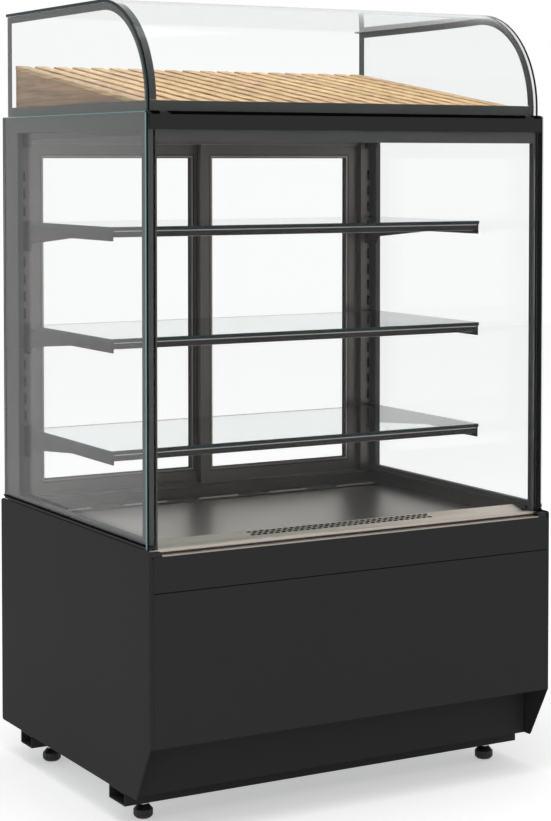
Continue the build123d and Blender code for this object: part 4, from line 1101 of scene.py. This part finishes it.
# The lips carry a painted highlight in a brighter steel, and black strips of painted shade lie in the duct
# slots.
lit_grille_lips = bmesh.new()
duct_slot_shade = bmesh.new()
for group in range(-2, 3):
    centre = group * GROUP_STEP
    strip(lit_grille_lips, (centre - GROUP_HALF, centre + GROUP_HALF), (225.4, 227.6), (513.9, 517.2), 0.8, 2)
    for number in range(DUCT_SLOTS):
        x = centre + (number - (DUCT_SLOTS - 1) / 2) * DUCT_STEP
        strip(duct_slot_shade, (x - DUCT_HALF, x + DUCT_HALF), (228.3, 260.7), (513.0, 514.2), 0.3)
finish_piece("rear_grille_lip_highlights", lit_grille_lips, stainless_highlight)
finish_piece("rear_grille_slot_shade", duct_slot_shade, foam_and_shade)

awnings = bmesh.new()
for side in (-1, 1):
    for column in range(-1, 2):
        for row in range(-6, 7):
            x = side * VENT_X + column * COLUMN_STEP
            z = VENT_Z + row * ROW_STEP
            strip(awnings, (x - AWNING_HALF, x + AWNING_HALF), (350.4, 352.3), (z + 3.0, z + 5.2), 0.6)
finish_piece("rear_vent_awnings", awnings, base_coat)


# %% [markdown]
# ## Air slots at the front
#
# The front ridge has three rows of short slots, the middle row set half a pitch over. They draw the air back
# into a dark space, so each gets a black strip of painted shade that follows the slope of the ridge and stands a
# quarter of a millimetre proud of it. A strip is 9 by 6 mm, matched to how the photograph draws the slots, where
# the slot in the solid is 12 by 5 mm.

# %% Painted shade in the front slots
SLOT_LONG, SLOT_HIGH = 9.0, 6.0
SLOT_PITCH, SLOT_ROW, SLOT_LINE = 13.4, 7.7, -280.5
RIDGE_FRONT, RIDGE_BACK = (-292.0, 531.5), (-266.0, 536.5)
shade_x, shade_y = (-SLOT_LONG / 2, SLOT_LONG / 2), (-SLOT_HIGH / 2, SLOT_HIGH / 2)
ridge_slope = math.atan2(RIDGE_BACK[1] - RIDGE_FRONT[1], RIDGE_BACK[0] - RIDGE_FRONT[0])

slot_shade_strips = bmesh.new()
for row, count in ((-1, 31), (0, 30), (1, 31)):
    y = SLOT_LINE + row * SLOT_ROW
    z = RIDGE_BACK[1] - (RIDGE_BACK[0] - y) * math.tan(ridge_slope)
    for number in range(count):
        x = (number - (count - 1) / 2) * SLOT_PITCH
        made = strip(slot_shade_strips, shade_x, shade_y, (-0.9, 0.25), 0.25)
        stand = Matrix.Translation((x * MM, y * MM, z * MM)) @ Matrix.Rotation(ridge_slope, 4, "X")
        bmesh.ops.transform(slot_shade_strips, matrix=stand, verts=made)
finish_piece("front_grille_slot_shade", slot_shade_strips, foam_and_shade)


# %% [markdown]
# ## Screws
#
# The rear panels are held by zinc-plated pan-head screws, cold-headed from wire. Each is a dome, spun from half
# its outline, with a cross recess drawn as a black cross of painted shade.

# %% Pan-head screws
SCREWS = [(side * 427.5, z) for side in (-1, 1) for z in (90, 250, 395, 440)]
REAR_FACE = 350.5
HEAD_OUTLINE = [(0.0, 1.8), (1.6, 1.75), (2.9, 1.4), (3.7, 0.7), (4.0, 0.0)]
CROSS_LONG, CROSS_WIDE = 1.9, 0.4

heads = bmesh.new()
recess_shadows = bmesh.new()
for x, z in SCREWS:
    points = [heads.verts.new(((x + r) * MM, (REAR_FACE + h) * MM, z * MM)) for r, h in HEAD_OUTLINE]
    line = [heads.edges.new(pair) for pair in zip(points, points[1:])]
    bmesh.ops.spin(
        heads,
        geom=points + line,
        cent=(x * MM, REAR_FACE * MM, z * MM),
        axis=(0, 1, 0),
        angle=math.tau,
        steps=16,
        use_merge=True,
    )
    recess_y = (REAR_FACE + 1.5, REAR_FACE + 1.85)
    # The cross recess is drawn as a black cross, painted shade.
    for half_x, half_z in ((CROSS_LONG, CROSS_WIDE), (CROSS_WIDE, CROSS_LONG)):
        strip(recess_shadows, (x - half_x, x + half_x), recess_y, (z - half_z, z + half_z), 0.08)
finish_piece("panel_screw_heads", heads, zinc_and_glint, replaces="panel_screws", smooth=True)
finish_piece("panel_screw_recess_shade", recess_shadows, print_and_shade_black)


# %% [markdown]
# ## Feet
#
# A levelling foot is a moulded puck on a screw, with ribs round its rim for the fingers. The ribs ride on the
# foot's own body, so that they turn with it.

# %% Grip ribs on the feet
FEET = {
    "front_left_leveller": (-393, -207.5),
    "front_right_leveller": (393, -207.5),
    "rear_left_leveller": (-393, 222.5),
    "rear_right_leveller": (393, 222.5),
}
RIB_COUNT = 14
PUCK_RADIUS = 18.0

for body, (x, y) in FEET.items():
    ribs = bmesh.new()
    for number in range(RIB_COUNT):
        made = strip(ribs, (PUCK_RADIUS - 0.6, PUCK_RADIUS + 0.7), (-1.3, 1.3), (5.0, 17.0), 0.5, 2)
        turn = Matrix.Rotation(math.tau * number / RIB_COUNT, 4, "Z")
        bmesh.ops.transform(ribs, matrix=Matrix.Translation((x * MM, y * MM, 0)) @ turn, verts=made)
    finish_piece(body + "_grip_ribs", ribs, foot_plastic, body)


# %% [markdown]
# ## The controller's face
#
# The controller is a black face with a two-digit display and three touch keys. The number is generic. Each
# digit is up to seven thin bars, and each key is a printed ring: two circles bridged and given a thickness.

# %% Digits and touch keys
digit_ink = moulded("red_printed_digits", "#b8382b", 0.4)
key_ink = moulded("pale_printed_marks", "#b9bcbc", 0.5)
FACE_Y = 352.3
PRINT_SUNK, PRINT_THICK = 0.1, 0.15
CONTROL_Z, DIGIT_LOW = 447.0, 440.0
DIGIT_WIDE, DIGIT_HIGH, BAR = 8.0, 15.0, 1.5
KEYS = (240.0, 230.0, 220.0)
RING_STEPS = 20
on_face = (FACE_Y - PRINT_SUNK, FACE_Y + PRINT_THICK)
SEGMENTS = {"4": "bcfg", "0": "abcdef"}


def digit(shape, number, right, z):
    """Draw a seven-bar digit for someone who looks at the back, so its left side is towards +X."""
    left = right + DIGIT_WIDE
    middle, top = z + DIGIT_HIGH / 2, z + DIGIT_HIGH
    bars = {
        "a": ((right, left), (top - BAR, top)),
        "b": ((right, right + BAR), (middle, top)),
        "c": ((right, right + BAR), (z, middle)),
        "d": ((right, left), (z, z + BAR)),
        "e": ((left - BAR, left), (z, middle)),
        "f": ((left - BAR, left), (middle, top)),
        "g": ((right, left), (middle - BAR / 2, middle + BAR / 2)),
    }
    for bar in SEGMENTS[number]:
        strip(shape, bars[bar][0], on_face, bars[bar][1], 0.1)


def ring_mark(shape, radius, wide):
    """Add a flat printed ring around the origin, facing the back of the case."""
    old = set(shape.verts)
    for size in (radius, radius - wide):
        bmesh.ops.create_circle(shape, radius=size * MM, segments=RING_STEPS)
    made = [vert for vert in shape.verts if vert not in old]
    loops = list({edge for vert in made for edge in vert.link_edges})
    faces = bmesh.ops.bridge_loops(shape, edges=loops)["faces"]
    bmesh.ops.extrude_face_region(shape, geom=faces)
    raised = [vert for vert in shape.verts if vert not in old and vert not in made]
    bmesh.ops.translate(shape, vec=(0, 0, -PRINT_THICK * MM), verts=raised)
    made = [vert for vert in shape.verts if vert not in old]
    bmesh.ops.rotate(shape, cent=(0, 0, 0), matrix=Matrix.Rotation(math.pi / 2, 3, "X"), verts=made)
    return made


digits = bmesh.new()
digit(digits, "4", 262.0, DIGIT_LOW)
digit(digits, "0", 250.0, DIGIT_LOW)
strip(digits, (259.6, 261.0), on_face, (DIGIT_LOW, DIGIT_LOW + 1.4), 0.1)
finish_piece("controller_digits", digits, digit_ink)

keys = bmesh.new()
for x in KEYS:
    made = ring_mark(keys, 3.0, 0.6)
    bmesh.ops.translate(keys, vec=(x * MM, FACE_Y * MM, CONTROL_Z * MM), verts=made)
finish_piece("controller_touch_keys", keys, key_ink)


# %% [markdown]
# ## I and O on the rockers
#
# The usual marks of a mains switch are printed on the rocker's face, a bar for on and a ring for off. They are
# laid out flat, leaned back with the rocker and set at its pivot, and they ride on its body.

# %% I and O on the rockers
ROCKER_Y, ROCKER_FACE, ROCKER_TILT = 345.0, 4.8, -10.0
RING_DOWN, BAR_Z = 5.5, (3.2, 7.8)
rocker_print = (ROCKER_FACE - PRINT_SUNK, ROCKER_FACE + PRINT_THICK)

for body, x in (("power_rocker", 150.0), ("light_rocker", 110.0)):
    marks = bmesh.new()
    made = ring_mark(marks, 2.1, 0.6)
    bmesh.ops.translate(marks, vec=(0, rocker_print[0] * MM, -RING_DOWN * MM), verts=made)
    strip(marks, (-0.4, 0.4), rocker_print, BAR_Z, 0.08)
    turn = Matrix.Rotation(math.radians(ROCKER_TILT), 4, "X")
    stand = Matrix.Translation((x * MM, ROCKER_Y * MM, CONTROL_Z * MM)) @ turn
    bmesh.ops.transform(marks, matrix=stand, verts=marks.verts)
    finish_piece(body + "_marks", marks, key_ink, body)


# %% [markdown]
# ## The slats of the rack
#
# Twenty planed slats lie on the sloping frame. The CAD slats have sharp edges. Real ones have their edges
# eased with a plane, and that line of light along each slat is what makes them read as wood. Each slat is
# a bevelled strip, turned to the slope and set at its own pitch.

# %% Eased slats
SLAT_WIDE, SLAT_THICK, SLATS = 27.0, 9.0, 20
SLAT_EASE, END_ROOM = 1.4, 0.8
RACK_FRONT, RACK_BACK, RACK_LOW, RACK_RISE = -292.5, 327.5, 1345.0, 0.1484

slope = math.atan(RACK_RISE)
middle_y = (RACK_FRONT + RACK_BACK) / 2
middle_z = RACK_LOW + (middle_y - RACK_FRONT) * RACK_RISE
half_length = (RACK_BACK - RACK_FRONT) / 2 / math.cos(slope) - END_ROOM
tilt = Matrix.Translation((0, middle_y * MM, middle_z * MM)) @ Matrix.Rotation(slope, 4, "X")

slats = bmesh.new()
for number in range(SLATS):
    centre = (number - (SLATS - 1) / 2) * SLAT_PITCH / MM
    span = (centre - SLAT_WIDE / 2, centre + SLAT_WIDE / 2)
    made = strip(slats, span, (-half_length, half_length), (-SLAT_THICK, 0), SLAT_EASE, 2)
    bmesh.ops.transform(slats, matrix=tilt, verts=made)
finish_piece("eased_rack_slats", slats, slat_beech, replaces="rack_slats")
